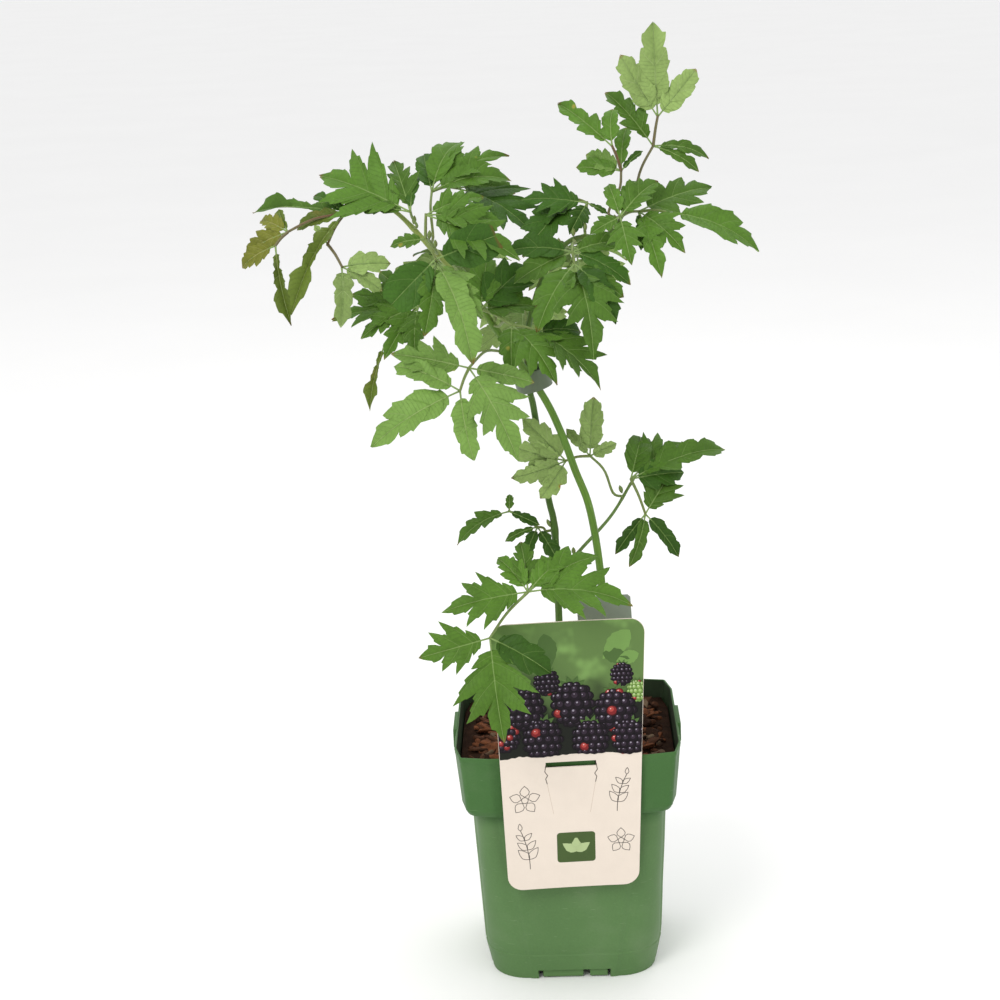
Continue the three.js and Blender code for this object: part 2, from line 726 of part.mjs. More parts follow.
// A spray: a stem from the bud, twigs from knot to knot, and a fan of leaflets at each knot.
// All are fused, and only the largest piece is kept.
function spray({ cane, bud, seed, knots }) {
  const random = numbers(seed);
  const pieces = [];
  for (const knot of knots) {
    const at = vector(knot.at);
    const normal = facing(knot);
    if (knot.on < 0) {
      const { start, out } = budOn(CANES[cane], vector(bud), at);
      pieces.push(twig(start, out, at, TWIG.radius));
    } else {
      pieces.push(twig(vector(knots[knot.on].at), null, at, TWIG.tip));
    }
    for (const [direction, reach, blade] of knot.fan) {
      const step = stepToTip(knot, normal, direction, reach);
      pieces.push(leaflet(at, step, normal, blade, random));
    }
  }
  const fused = wasm.Manifold.union(pieces).simplify(MERGE);
  return fused.decompose().sort((a, b) => b.volume() - a.volume())[0];
}

// Finishes
const FINISH = {
  pot: { color: 0x557f4c, roughness: 0.55 },
  soil: { color: 0x3a2a20, roughness: 0.95 },
  card: { color: 0xf6e6d2, roughness: 0.35 },
  tag: { color: 0x7f9183, roughness: 0.4 },
  tie: { color: 0x6f8272, roughness: 0.45 },
  main: { color: 0x5c8f38, roughness: 0.5 },
  second: { color: 0x3f6b2c, roughness: 0.5 },
  shoot: { color: 0x6b8a45, roughness: 0.5 },
  leaf: { color: 0x46803a, roughness: 0.6 },
};

// Assembly
const plant = new THREE.Group();

function add(name, geometry, finish) {
  const mesh = new THREE.Mesh(geometry, new THREE.MeshStandardMaterial({ ...finish, metalness: 0 }));
  mesh.name = name;
  plant.add(mesh);
  return mesh;
}

add("pot", geometryFrom(potSolid()), FINISH.pot);
add("soil", soilGeometry(), FINISH.soil);

const card = add("card", cardGeometry(), FINISH.card);
card.position.set(CARD_SET.x, CARD_SET.y, CARD_SET.z);
card.rotation.set(Math.PI / 2 + CARD_SET.lean, 0, CARD_SET.yaw, "ZYX");

const tag = add("tag", tagGeometry(), FINISH.tag);
tag.position.set(TAG.x, TAG.y, SOIL.top + CLEAR + (TAG.width / 2) * TAG.roll);
tag.rotation.set(Math.PI / 2, 0, TAG.roll, "XYZ");

const tie = add("tie", tieGeometry(), FINISH.tie);
tie.position.set(TIE_SET.x, TIE_SET.y, TIE_SET.z);
tie.rotation.set(0, -TIE_SET.tilt, 0);

for (const [name, { route, radii, steps }] of Object.entries(CANES)) {
  add(`cane_${name}`, limb(route.map(vector), radii, CANE_SIDES, steps), FINISH[name]);
}
for (const row of SPRAYS) {
  add(row.name, geometryFrom(spray(row)), FINISH.leaf);
}

export default plant;
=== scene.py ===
# Thornless evergreen bramble in a square green pot, with its picture card, tag and tie.
# Millimetres until a mesh is made, +Z up, and the front of the pot faces -Y.
import json
import math

import bpy
import numpy as np
from mathutils import Matrix

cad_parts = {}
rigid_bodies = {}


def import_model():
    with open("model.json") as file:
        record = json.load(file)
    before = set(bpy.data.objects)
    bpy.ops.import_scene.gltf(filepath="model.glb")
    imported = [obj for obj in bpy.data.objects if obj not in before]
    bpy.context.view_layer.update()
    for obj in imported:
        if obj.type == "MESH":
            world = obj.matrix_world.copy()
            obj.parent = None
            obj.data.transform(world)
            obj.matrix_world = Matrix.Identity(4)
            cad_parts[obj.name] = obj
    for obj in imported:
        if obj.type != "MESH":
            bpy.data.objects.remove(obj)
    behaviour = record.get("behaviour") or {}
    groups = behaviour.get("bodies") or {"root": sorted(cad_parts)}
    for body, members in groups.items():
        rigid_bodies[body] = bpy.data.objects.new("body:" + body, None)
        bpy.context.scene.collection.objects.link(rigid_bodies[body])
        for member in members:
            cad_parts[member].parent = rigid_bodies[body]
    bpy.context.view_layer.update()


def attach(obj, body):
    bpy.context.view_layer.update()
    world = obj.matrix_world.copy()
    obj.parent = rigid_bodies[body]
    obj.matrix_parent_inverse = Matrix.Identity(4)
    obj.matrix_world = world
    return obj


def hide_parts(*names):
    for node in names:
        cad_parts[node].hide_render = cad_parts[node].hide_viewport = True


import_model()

MM = 0.001

# Pot
WALL = 1.2
RIM_HEIGHT = 152
FLOOR_UNDER = 7.5
STEP_EXTRA = 0.6
NOTCH_HEIGHT = 6
NOTCH_PART = 0.88
LUG = {"width": 32, "height": 12, "proud": 2, "sunk": 1, "slot_width": 24, "slot_height": 2.6}
FEET = ((-22, 5.5), (10, 30))
FOOT_DEPTH = 48
BLOCKS = ((-19.5, 5.5), (9.5, 20.5))
BLOCK = {"far": 51.0, "near": 30, "low": 0.8}
# Height, half width, corner radius, place of the crease beside each corner, bow of the side
POT_LEVELS = np.array([
    [0, 50.6, 23, 25, 0.8],
    [17, 53.6, 24, 27, 1.2],
    [112.5, 57.5, 13, 40, 1.6],
    [113.2, 61.4, 8, 44, 2.2],
    [116.5, 62.4, 5, 45, 2.6],
    [152, 65, 2.6, 47, 3.2],
])
PANEL_PARTS = (-1, -0.975, -0.94, -NOTCH_PART, -0.6, -0.3, 0, 0.3, 0.6, NOTCH_PART, 0.94, 0.975, 1)
FLAT_PARTS = (0.1, 0.3, 0.7, 0.92)
SOFT = {"lug": 0.45, "foot": 0.8, "block": 0.7}
WARP = {"low": 20, "high": 150, "round": 50, "deep": 0.16, "pitch": 70, "seed": 5}
ARC_STEPS = 10
LEAST_CORNER = 0.8
POT_OUTSIDE = 53

# Soil, card, tag and tie
SOIL_TOP = 145
SOIL = {"edge": 140.5, "heap": 2.2, "gap": 0.5, "chips": 950}
CARD = {"top_half": 45, "foot_half": 39.4, "height": 174, "thick": 0.8, "corner": 9}
CARD_SET = {"x": 1.2, "y": -65.5, "z": 67.8, "lean": 0.089, "yaw": 0.07}
CARD_CURL = {"sides": 1.0, "at": 43, "bow": 0.2}
PICTURE_FOOT = 88.2
SLIT = {"half": 15, "low": 80.6, "high": 84.0}
TAG = {"width": 32, "height": 100, "thick": 0.8, "corner": 1.5, "bow": 0.5}
TAG_SET = {"x": 28.4, "y": -50, "roll": 0.045}
TIE = {"in_x": 10, "in_y": 11.1, "wall": 0.9, "height": 12}
TIE_SET = {"x": -12.3, "y": -3.6, "z": 362.5, "tilt": 0.26}

# Canes: points on the centre line and radii from foot to tip
CANES = {
    "main": {
        "route": [
            [25.8, 0, 145.4], [25.6, 0, 195], [23.8, -3, 244.5], [18.2, -8, 287.2],
            [9.9, -13, 313.6], [1.6, -14, 338.7], [-8.9, -10, 360.8], [-31.9, -14, 397.4],
            [-51.1, -17, 428.3], [-73.7, -20, 455.9], [-90.3, -20, 473.4], [-101.3, -20, 475],
        ],
        "radii": [3.4, 2.9, 2.8, 2.6, 2, 1.1],
    },
    "second": {
        "route": [
            [-2.5, 7, 145.4], [-2.6, 8, 200], [-3.4, 11, 268.1], [-7, 13, 291.9],
            [-13.7, 8, 346.5], [-15.6, 4, 358.6], [-16.7, 2, 378.6], [-15.5, 0, 397.2],
            [-8.7, -3, 421.5], [0.8, -3, 440.2], [13.5, 0, 450.5], [33, 0, 452.8], [43.8, 0, 465.4],
        ],
        "radii": [3, 2.6, 2.4, 2.1, 1.7, 1.2],
    },
    "shoot": {
        "route": [[1.4, 11, 241], [9.7, 14, 253.4], [30.8, 20, 274.7], [44.3, 22, 295.4]],
        "radii": [1.2, 1.1, 0.9],
    },
}

SLENDER = {"main": 0.8, "second": 0.8, "shoot": 0.95}
CANE_FOOT = 6

# Leaf blades: each vein is (place on the midrib, length), both as parts of the leaf's length. A long
# vein ends in a lobe's tip and a short one in the cleft between two lobes.
CUT = ((0.06, 0.2), (0.1, 0.07), (0.13, 0.5), (0.26, 0.08), (0.33, 0.44), (0.5, 0.075))
LONG = ((0.06, 0.13), (0.1, 0.06), (0.16, 0.37), (0.3, 0.07), (0.42, 0.28), (0.55, 0.065))
TOOTHED = ((0.07, 0.25), (0.11, 0.13), (0.18, 0.38), (0.32, 0.12), (0.42, 0.31), (0.54, 0.11))
SLIM = ((0.1, 0.13), (0.22, 0.08), (0.34, 0.22), (0.48, 0.08))
PLAIN = ((0.08, 0.28), (0.2, 0.15), (0.36, 0.33), (0.5, 0.13))
OVAL = ((0.08, 0.24), (0.2, 0.33), (0.38, 0.34), (0.58, 0.26))
LANCE = ((0.06, 0.17), (0.22, 0.23), (0.46, 0.26), (0.53, 0.15))
VEIN_ANGLE = {"far": 35, "near": 47, "fade": 0.08}
STALK = 0.12
BLADE = {"roll": (-0.25, 0.25), "arch": (0.04, 0.14), "fold": (0.16, 0.38), "width": (0.95, 1.22)}
TWIG = {"stub": 7, "stub_part": 1 / 3, "middle": 0.55, "bow": 0.07, "past": 0.9, "rooted": 1.2}
CLEAR = 0.3
PROBES = 400
LOOK_DOWN = math.radians(15)
FRONT_RIGHT = np.array([1.0, 0, 0])
FRONT_UP = np.array([0, math.sin(LOOK_DOWN), math.cos(LOOK_DOWN)])
FRONT_NEAR = np.array([0, -math.cos(LOOK_DOWN), math.sin(LOOK_DOWN)])
MOST_LEAN = 0.9

# Finer shape of the blades: thickness, teeth and relief
BLADE_THICK = 0.3
TOOTH_PITCH = 7.6
TOOTH_DEPTH = 1.1
TOOTH_MARKS = ((0.0, 0.0), (0.35, 0.3), (0.68, 0.72), (0.88, 1.0))
BLADE_ROWS = (0.0, 0.05, 0.2, 0.42, 0.64, 0.84, 1.0)
SEGMENT_BULGE = {"root": 0.12, "rising": 0.08, "falling": 0.06, "last": 0.17}
SHALLOW = {"short": 0.1, "narrow": 0.3, "from": 52, "over": 26}
RIB = {"root": 0.6, "stalk": 0.5, "tip": 0.12, "end": 0.96, "sunk": 0.3, "part_sunk": 0.5, "turned": 0.5}
PETIOLE = {"foot": 1.25, "clasp": 0.12, "start": 0.95, "end": 0.75, "sides": 8, "steps": 18}
LAST_FOOT = 0.985
EDGE_START, EDGE_END = (0.005, 0.012), (1.0, 0.004)
TOOTH_SIZES = (0.4, 1.5)
NARROW_FOLD = 0.6
ROW_BEND = 0.2
FINE_SLANT = 0.9
DROOP = {"side": 0.3, "tip": 0.3, "from": 0.55}
GROOVES = {"side": (0.14, 0.8), "midrib": (0.25, 0.9)}
PUFF = (0.3, 2.2)
EDGE_WAVE = {"rate": 1.7, "deep": 1 / 50}
GRAIN = {"deep": 0.12, "pitch": 5}

# Finer shape of the canes and of the buds on them
RIDGES = {"count": 5, "deep": 0.035, "twist": 0.006}
SWOLLEN = {"deep": 0.18, "reach": 3.5}
BUD = {"radius": 1.35, "length": 5.5, "rings": 8, "sides": 9}


def knot(at, on, turn, lift, tones, *fan, own=False):
    """A place where leaflets meet, as the table of sprays explains it."""
    at = np.array(at, float)
    return {"at": at, "on": on, "turn": turn, "lift": lift, "tones": tones, "fan": fan, "own": own}


def open_knot(at, on, turn, lift, tones, aim, reach):
    """A knot at the back with an open fan of five leaflets round its aim."""
    fan = [(aim, reach, LONG)]
    for aside, share in ((50, 0.84), (104, 0.62)):
        fan += [(aim - aside, reach * share, PLAIN), (aim + aside, reach * share, PLAIN)]
    return knot(at, on, turn, lift, tones, *fan, own=True)


# Sprays: the cane each grows on, the place of its bud, and its knots. The numbers of a knot are its
# place, the knot it hangs on (-1 is the bud), the way its blades face (degrees turned from the front,
# degrees lifted from level), the tone of each leaflet (a capital letter shows its underside), and its
# fan of [direction, reach, blade], with a fourth number where a leaflet is broader or narrower than
# its kind
SPRAYS = [
    {"name": "spray_arch_tip", "cane": "main", "bud": [-101.3, -20, 475], "seed": 11, "knots": [
        knot([-119, -20, 473], -1, -20, 48, "omddo", [194, 30, PLAIN, 0.8], [172, 58, SLIM, 0.5],
             [121, 18, SLIM], [144, 24, SLIM], [243, 66, LONG, 0.27]),
        knot([-152, -25, 464], 0, -30, 35, "rro", [203, 29, TOOTHED], [151, 20, TOOTHED], [114, 17, SLIM]),
        knot([-159, -30, 457], 1, -25, 30, "ro", [208, 24, TOOTHED], [281, 48, SLIM, 0.36]),
        knot([-128, -38, 458], 0, 10, 25, "F", [123, 14, SLIM]),
        knot([-120, -45, 446], 3, 10, 25, "FFF", [4, 28, PLAIN, 1.15], [269, 35, PLAIN, 0.8],
             [328, 27, SLIM, 1.3]),
    ]},
    {"name": "spray_crest", "cane": "main", "bud": [-80, -20, 463], "seed": 23, "knots": [
        knot([-80, -32, 474], -1, -15, 42, "mmdm", [153, 63, CUT], [107, 36, LONG], [81, 23, SLIM, 1.2],
             [170, 42, SLIM]),
    ]},
    {"name": "spray_front", "cane": "main", "bud": [-68, -19, 449], "seed": 37, "knots": [
        knot([-71, -52, 461], -1, -10, 40, "m", [188, 21, TOOTHED]),
        knot([-70, -55, 475], 0, 12, 45, "mmm", [20, 35, LONG, 1.1], [334, 59, CUT], [354, 44, LONG, 1.1]),
        knot([-65, -64, 450], 0, 5, 30, "mbb", [261, 43, TOOTHED, 0.8], [308, 42, LONG],
             [289, 62, LANCE, 0.7]),
        knot([-65, -70, 452], 2, 0, 20, "dd", [20, 37, OVAL, 1.3], [224, 35, OVAL, 1.4]),
    ]},
    {"name": "spray_back_crest", "cane": "main", "bud": [-71, -20, 453], "seed": 41, "knots": [
        knot([-70, 20, 479], -1, -5, 50, "mdmm", [64, 38, LANCE, 1.15], [102, 27, LANCE, 1.1],
             [27, 52, LONG, 1.0], [8, 48, LANCE, 1.05]),
        knot([-56, 38, 478], 0, 15, 55, "md", [357, 36, LANCE, 1.1], [326, 60, CUT]),
    ]},
    {"name": "spray_left", "cane": "main", "bud": [-55, -17, 433], "seed": 53, "knots": [
        knot([-78, -33, 419], -1, -10, 42, "mmmmmm", [135, 34, TOOTHED], [166, 42, LONG], [184, 52, CUT],
             [206, 38, LONG, 1.1], [236, 36, LONG, 1.1], [266, 30, TOOTHED]),
        knot([-98, -38, 399], 0, -20, 30, "o", [255, 40, SLIM, 0.36]),
    ]},
    {"name": "spray_hanging", "cane": "main", "bud": [-28, -14, 392], "seed": 67, "knots": [
        knot([-48.9, -66, 388.7], -1, 0, 30, "bbb", [167, 46, CUT, 0.85], [346, 38, LANCE, 0.85],
             [297, 60, CUT, 0.85]),
        knot([-54.2, -74, 377.3], 0, -8, 30, "bbb", [156, 42, LANCE, 0.9], [209, 60, LANCE, 1.0],
             [279, 40, LANCE, 0.9]),
    ]},
    {"name": "spray_middle", "cane": "main", "bud": [-35, -15, 403], "seed": 71, "knots": [
        knot([-24, -48, 409], -1, 5, 40, "mm", [306, 43, CUT, 1.05], [268, 26, PLAIN, 1.1]),
        knot([-10, -53, 406], 0, 20, 40, "md", [318, 50, CUT, 1.1], [1, 26, LANCE, 1.2]),
        knot([-42, -38, 417], 0, 0, 35, "mdm", [82, 33, PLAIN, 1.3], [43, 39, PLAIN, 1.3],
             [4, 33, PLAIN, 1.3]),
    ]},
    {"name": "spray_right_hanging", "cane": "second", "bud": [13, 0, 450.5], "seed": 83, "knots": [
        knot([12, -28, 447], -1, 5, 42, "dmmd", [176, 38, LANCE, 1.0], [206, 38, LANCE, 1.1],
             [12, 30, LANCE, 1.1], [330, 38, LANCE, 1.05]),
        knot([13, -35, 441], 0, 5, 38, "mmdm", [324, 34, LANCE, 1.05], [239, 45, LANCE, 1.1],
             [303, 42, LANCE, 1.0], [280, 56, CUT, 0.9]),
    ]},
    {"name": "spray_inner", "cane": "second", "bud": [20, 0, 451.6], "seed": 97, "knots": [
        knot([21.9, 12, 469.9], -1, 0, 45, "ddd", [173, 40, CUT], [240, 22, TOOTHED], [329, 14, SLIM]),
        knot([14.3, 20, 471], 0, -10, 45, "dd", [214, 32, PLAIN, 1.2], [226, 46, PLAIN, 1.2]),
    ]},
    {"name": "spray_top", "cane": "second", "bud": [43.8, 0, 465.4], "seed": 101, "knots": [
        knot([62, 20, 501], -1, 10, 35, "mmm", [127, 45, LONG, 0.8], [348, 34, SLIM], [330, 31, SLIM]),
        knot([65, 20, 518], 0, -8, 15, "FFF", [91, 57, LANCE, 0.85], [119, 44, LANCE, 0.95],
             [49, 36, LANCE, 1.1]),
    ]},
    {"name": "spray_upper_left", "cane": "second", "bud": [41, 0, 461], "seed": 113, "knots": [
        knot([42, -5, 490], -1, -10, 40, "mdbm", [82, 29, SLIM, 1.1], [44, 18, SLIM], [149, 24, TOOTHED],
             [170, 27, PLAIN]),
        knot([37, -12, 505], 0, -15, 35, "mm", [135, 44, LONG, 0.65], [88, 24, PLAIN, 0.9]),
    ]},
    {"name": "spray_right", "cane": "second", "bud": [38, 0, 457], "seed": 127, "knots": [
        knot([40, -32, 467], -1, 0, 42, "mmmmm", [106, 22, PLAIN], [67, 25, PLAIN], [44, 32, TOOTHED, 1.1],
             [280, 29, CUT], [208, 20, TOOTHED]),
        knot([51, -20, 468], 0, 15, 45, "mmmd", [21, 48, PLAIN, 1.1], [316, 36, CUT], [286, 41, LONG, 0.8],
             [272, 23, SLIM]),
        knot([68, -22, 467], 1, 15, 42, "m", [337, 57, LANCE, 1.2]),
    ]},
    {"name": "spray_low_middle", "cane": "shoot", "bud": [39, 21, 287], "seed": 131, "knots": [
        knot([19.3, 6, 317.3], -1, 0, 12, "FFF", [85, 36, LANCE, 1.1], [129, 22, SLIM, 1.2],
             [24, 18, PLAIN]),
        knot([4.7, 0, 316.2], 0, 0, 10, "FFFF", [134, 37, PLAIN, 0.95], [163, 39, TOOTHED, 0.9],
             [196, 35, TOOTHED, 0.9], [234, 28, PLAIN, 1.05]),
    ]},
    {"name": "spray_low_right", "cane": "shoot", "bud": [44.3, 22, 295.4], "seed": 149, "knots": [
        knot([44, 14, 300], -1, 15, 40, "mmmd", [74, 28, OVAL, 1.1], [34, 42, CUT, 1.1],
             [17, 64, LONG, 0.6], [6, 34, PLAIN, 1.1]),
        knot([52, 5, 280], 0, 15, 30, "dmdm", [307, 33, LANCE, 0.75], [252, 33, LANCE, 0.7],
             [230, 30, SLIM], [55, 33, CUT, 1.15]),
    ]},
    {"name": "spray_low_left", "cane": "second", "bud": [-4, 11, 270], "seed": 151, "knots": [
        knot([-14, 12, 272], -1, -10, 40, "mdd", [201, 22, SLIM], [248, 26, LANCE, 0.85],
             [300, 28, SLIM, 1.2]),
        knot([-31, 10, 283], 0, -15, 42, "mmd", [209, 38, LONG, 0.85], [88, 11, PLAIN],
             [335, 20, SLIM, 1.1]),
    ]},
    {"name": "spray_skirt", "cane": "shoot", "bud": [8, 13.4, 251], "seed": 163, "knots": [
        knot([-19.8, -82, 259.6], -1, 0, 48, "mmmmmm", [190, 51, CUT], [130, 27, TOOTHED],
             [97, 30, TOOTHED], [40, 32, TOOTHED], [27, 46, PLAIN, 1.1], [353, 61, CUT]),
        knot([-42.2, -97, 237.4], 0, -5, 28, "mdm", [194, 43, CUT], [330, 40, LANCE, 1.3],
             [276, 59, CUT, 1.1]),
    ]},
    {"name": "spray_back_left", "cane": "main", "bud": [-47, -17, 422], "seed": 173, "knots": [
        open_knot([-62, 20, 436], -1, 190, 55, "mdmmd", 290, 44),
        open_knot([-54, 52, 428], 0, 175, 40, "mmdfm", 270, 50),
    ]},
    {"name": "spray_back_right", "cane": "second", "bud": [5, -2, 444], "seed": 181, "knots": [
        open_knot([10, 38, 440], -1, 165, 55, "mmdmm", 250, 44),
        open_knot([16, 66, 430], 0, 180, 40, "fmmdm", 268, 50),
    ]},
    {"name": "spray_back_middle", "cane": "second", "bud": [-15.6, 0.4, 395], "seed": 191, "knots": [
        open_knot([-18, 34, 404], -1, 180, 55, "dmmdm", 272, 42),
        open_knot([-20, 60, 392], 0, 182, 35, "mfmmd", 270, 48),
    ]},
    {"name": "spray_back_low", "cane": "second", "bud": [-2.6, 7, 182], "seed": 199, "knots": [
        open_knot([8, 44, 190], -1, 185, 62, "dmdmd", 275, 40),
    ]},
]


# Small sums

def unit(vector):
    """A vector brought to length one."""
    return vector / np.linalg.norm(vector)


def between(low_high, part):
    """The number a part of the way from the first to the second."""
    return low_high[0] + (low_high[1] - low_high[0]) * part


def turned(vector, axis, angle):
    """A vector turned about a unit axis: its part along the axis stays, the rest goes round."""
    kept = axis * (vector @ axis)
    return kept + (vector - kept) * math.cos(angle) + np.cross(axis, vector) * math.sin(angle)


def numbers(seed):
    """A seeded row of numbers from 0 to 1, each the last times 1664525 plus 1013904223."""
    state = seed
    while True:
        state = (state * 1664525 + 1013904223) % 4294967296
        yield state / 4294967296


def ripple(a, b, pitch, seed):
    """Uneven swell of about -1 to 1: seven plane waves with turned fronts, added and over four."""
    rng = np.random.default_rng(seed)
    total = np.zeros(np.broadcast(a, b).shape)
    for _ in range(7):
        way = rng.uniform(0, 2 * math.pi)
        rate = 2 * math.pi / (pitch * rng.uniform(0.6, 1.6))
        total = total + np.sin((a * math.cos(way) + b * math.sin(way)) * rate + rng.uniform(0, 7))
    return total / 4


def curve(route, parts):
    """Points and directions of a smooth curve through a route.

    Each span is a cubic whose end directions are half the step between its two neighbours. The
    route is carried on in a straight line past both ends.
    """
    route = np.asarray(route, float)
    full = np.vstack([2 * route[0] - route[1], route, 2 * route[-1] - route[-2]])
    place = np.clip(parts, 0, 1) * (len(route) - 1)
    span = np.minimum(place.astype(int), len(route) - 2)
    t = (place - span)[:, None]
    before, start, end, after = (full[span + k] for k in range(4))
    leave = (end - before) / 2
    reach = (after - start) / 2
    square = 3 * (end - start) - 2 * leave - reach
    cube = 2 * (start - end) + leave + reach
    points = start + leave * t + square * t ** 2 + cube * t ** 3
    ways = leave + 2 * square * t + 3 * cube * t ** 2
    return points, ways / np.linalg.norm(ways, axis=1)[:, None]


# Meshes

class Shape:
    """Points and faces gathered for one mesh, with vectors kept at the points under given names."""

    def __init__(self, *kept):
        self.points = []
        self.faces = []
        self.finishes = []
        self.kept = {name: [] for name in kept}
        self.first = 0
        self.count = 0

    def add(self, points, tables, finish=0, **kept):
        """Adds points with tables of triangles or quads, all of one finish."""
        points = np.asarray(points, float).reshape(-1, 3)
        self.points.append(points)
        for name, rows in self.kept.items():
            rows.append(kept.get(name, np.zeros((len(points), 3))))
        self.first = self.count
        self.count += len(points)
        self.cover(tables, finish)

    def cover(self, tables, finish):
        """Adds tables of faces of one finish over the points added last."""
        for table in tables:
            table = np.asarray(table, int)
            self.faces.append(table + self.first)
            self.finishes.append(np.full(len(table), finish))

    def piece(self, name, nodes, slot, materials, sharp=None):
        """Makes the object, in metres, riding on the root in place of the named nodes."""
        corners = np.concatenate([table.ravel() for table in self.faces])
        totals = np.concatenate([np.full(len(table), table.shape[1]) for table in self.faces])
        mesh = bpy.data.meshes.new(name)
        mesh.vertices.add(self.count)
        mesh.vertices.foreach_set("co", (np.vstack(self.points) * MM).ravel())
        mesh.loops.add(len(corners))
        mesh.loops.foreach_set("vertex_index", corners)
        mesh.polygons.add(len(totals))
        mesh.polygons.foreach_set("loop_start", np.cumsum(totals) - totals)
        for material in materials:
            mesh.materials.append(material)
        mesh.polygons.foreach_set("material_index", np.concatenate(self.finishes))
        mesh.polygons.foreach_set("use_smooth", np.ones(len(totals), bool))
        for label, rows in self.kept.items():
            layer = mesh.attributes.new(label, "FLOAT_VECTOR", "POINT")
            layer.data.foreach_set("vector", np.vstack(rows).ravel())
        mesh.update(calc_edges=True)
        mesh.validate()
        if sharp:
            mesh.set_sharp_from_angle(angle=math.radians(sharp))
        made = bpy.data.objects.new(name, mesh)
        bpy.context.scene.collection.objects.link(made)
        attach(made, "root")
        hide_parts(*nodes)
        return made


def grid_quads(rows, columns, loop=False):
    """Quads over a grid of points, row by row, with the last column joined to the first if asked."""
    across = np.arange(columns if loop else columns - 1)
    up = np.arange(rows - 1)[:, None]
    a = up * columns + across
    b = up * columns + (across + 1) % columns
    return np.stack([a, b, b + columns, a + columns], -1).reshape(-1, 4)


def cap(centre, first, count, flipped=False):
    """Triangles from a centre to each edge of a ring of points that are numbered in a row."""
    k = np.arange(count)
    ends = [first + k, first + (k + 1) % count]
    return np.stack([np.full(count, centre), *(ends[::-1] if flipped else ends)], 1)


def circle(count):
    """Points round a circle of radius one."""
    angle = np.arange(count) / count * 2 * math.pi
    return np.stack([np.cos(angle), np.sin(angle)], 1)


def soft_corners(x0, x1, low, high, soft, steps):
    """The outline of a rectangle with quarter circles at its corners."""
    angle = np.radians(np.arange(-90, 270, 90)[:, None] + np.linspace(0, 90, steps))
    x = np.array([x1 - soft, x1 - soft, x0 + soft, x0 + soft])[:, None] + soft * np.cos(angle)
    y = np.array([low + soft, high - soft, high - soft, low + soft])[:, None] + soft * np.sin(angle)
    return np.stack([x.ravel(), y.ravel()], 1)


def tube(line, radii, sides):
    """A closed tube: rings about a line, carried along without twisting, with a point at each end.

    Returns the points, the tables of faces, and for each point its cosine and sine round the line
    and the length along it.
    """
    line = np.asarray(line, float)
    count = len(line)
    radii = np.broadcast_to(np.asarray(radii, float).reshape(count, -1), (count, sides))
    ways = np.gradient(line, axis=0)
    ways /= np.linalg.norm(ways, axis=1)[:, None]
    side = np.eye(3)[np.argmin(np.abs(ways[0]))]
    first = np.empty((count, 3))
    for k in range(count):
        side = unit(side - ways[k] * (side @ ways[k]))
        first[k] = side
    second = np.cross(ways, first)
    angle = np.arange(sides) / sides * 2 * math.pi
    around = np.cos(angle)[None, :, None] * first[:, None] + np.sin(angle)[None, :, None] * second[:, None]
    points = line[:, None] + around * radii[:, :, None]
    points = np.vstack([points.reshape(-1, 3), line[:1], line[-1:]])
    last = (count - 1) * sides
    caps = np.vstack([cap(count * sides, 0, sides, True), cap(count * sides + 1, last, sides)])
    run = np.concatenate([[0], np.cumsum(np.linalg.norm(np.diff(line, axis=0), axis=1))])
    skin = np.stack([
        np.tile(np.cos(angle), count), np.tile(np.sin(angle), count), np.repeat(run, sides),
    ], 1)
    skin = np.vstack([skin, [[0, 0, 0]], [[0, 0, run[-1]]]])
    return points, [grid_quads(count, sides, True), caps], skin


def slab(front, back, keep):
    """A closed plate from two grids of points: the kept cells of both, walled round their border."""
    rows, columns = front.shape[:2]
    under = rows * columns
    index = np.arange(under).reshape(rows, columns)
    cells = np.stack([index[:-1, :-1], index[:-1, 1:], index[1:, 1:], index[1:, :-1]], -1)
    padded = np.pad(keep, 1)
    beyond = (padded[:-2, 1:-1], padded[1:-1, 2:], padded[2:, 1:-1], padded[1:-1, :-2])
    faces = [cells[keep], cells[keep][:, ::-1] + under]
    for side, covered in enumerate(beyond):
        border = cells[keep & ~covered]
        start, end = border[:, side], border[:, (side + 1) % 4]
        faces.append(np.stack([start, start + under, end + under, end], 1))
    return np.vstack([front.reshape(-1, 3), back.reshape(-1, 3)]), [np.vstack(faces)]


def rounded_box(low, high, radius, steps=3):
    """A box with rounded edges: a cube's skin, each point drawn in to the radius from the core."""
    low, high = np.asarray(low, float), np.asarray(high, float)
    edge, past = 0.98, 0.02
    ticks = np.concatenate([np.linspace(-1, -edge, steps), np.linspace(edge, 1, steps)])
    count = len(ticks)
    points, tables = [], []
    for axis in range(3):
        for sign in (-1, 1):
            u, v = np.meshgrid(ticks, ticks, indexing="ij")
            cube = np.empty((count, count, 3))
            cube[..., axis] = sign
            cube[..., (axis + 1) % 3] = u
            cube[..., (axis + 2) % 3] = v
            table = grid_quads(count, count)
            table = table if sign < 0 else table[:, ::-1]
            tables.append(table + len(points) * count * count)
            points.append(cube.reshape(-1, 3))
    cube = np.vstack(points)
    core = np.sign(cube)
    lean = (np.abs(cube) - edge) / past
    lean = np.where(np.abs(cube) >= edge, np.sign(cube) * np.tan(np.clip(lean, 0, 1) * math.pi / 4), 0)
    lean = lean / np.linalg.norm(lean, axis=1)[:, None]
    middle = (low + high) / 2
    half = (high - low) / 2 - radius
    placed = middle + core * half + lean * radius
    _, first, same = np.unique(np.round(placed, 4), axis=0, return_index=True, return_inverse=True)
    return placed[first], [same.ravel()[table] for table in tables]


# Nodes of the materials

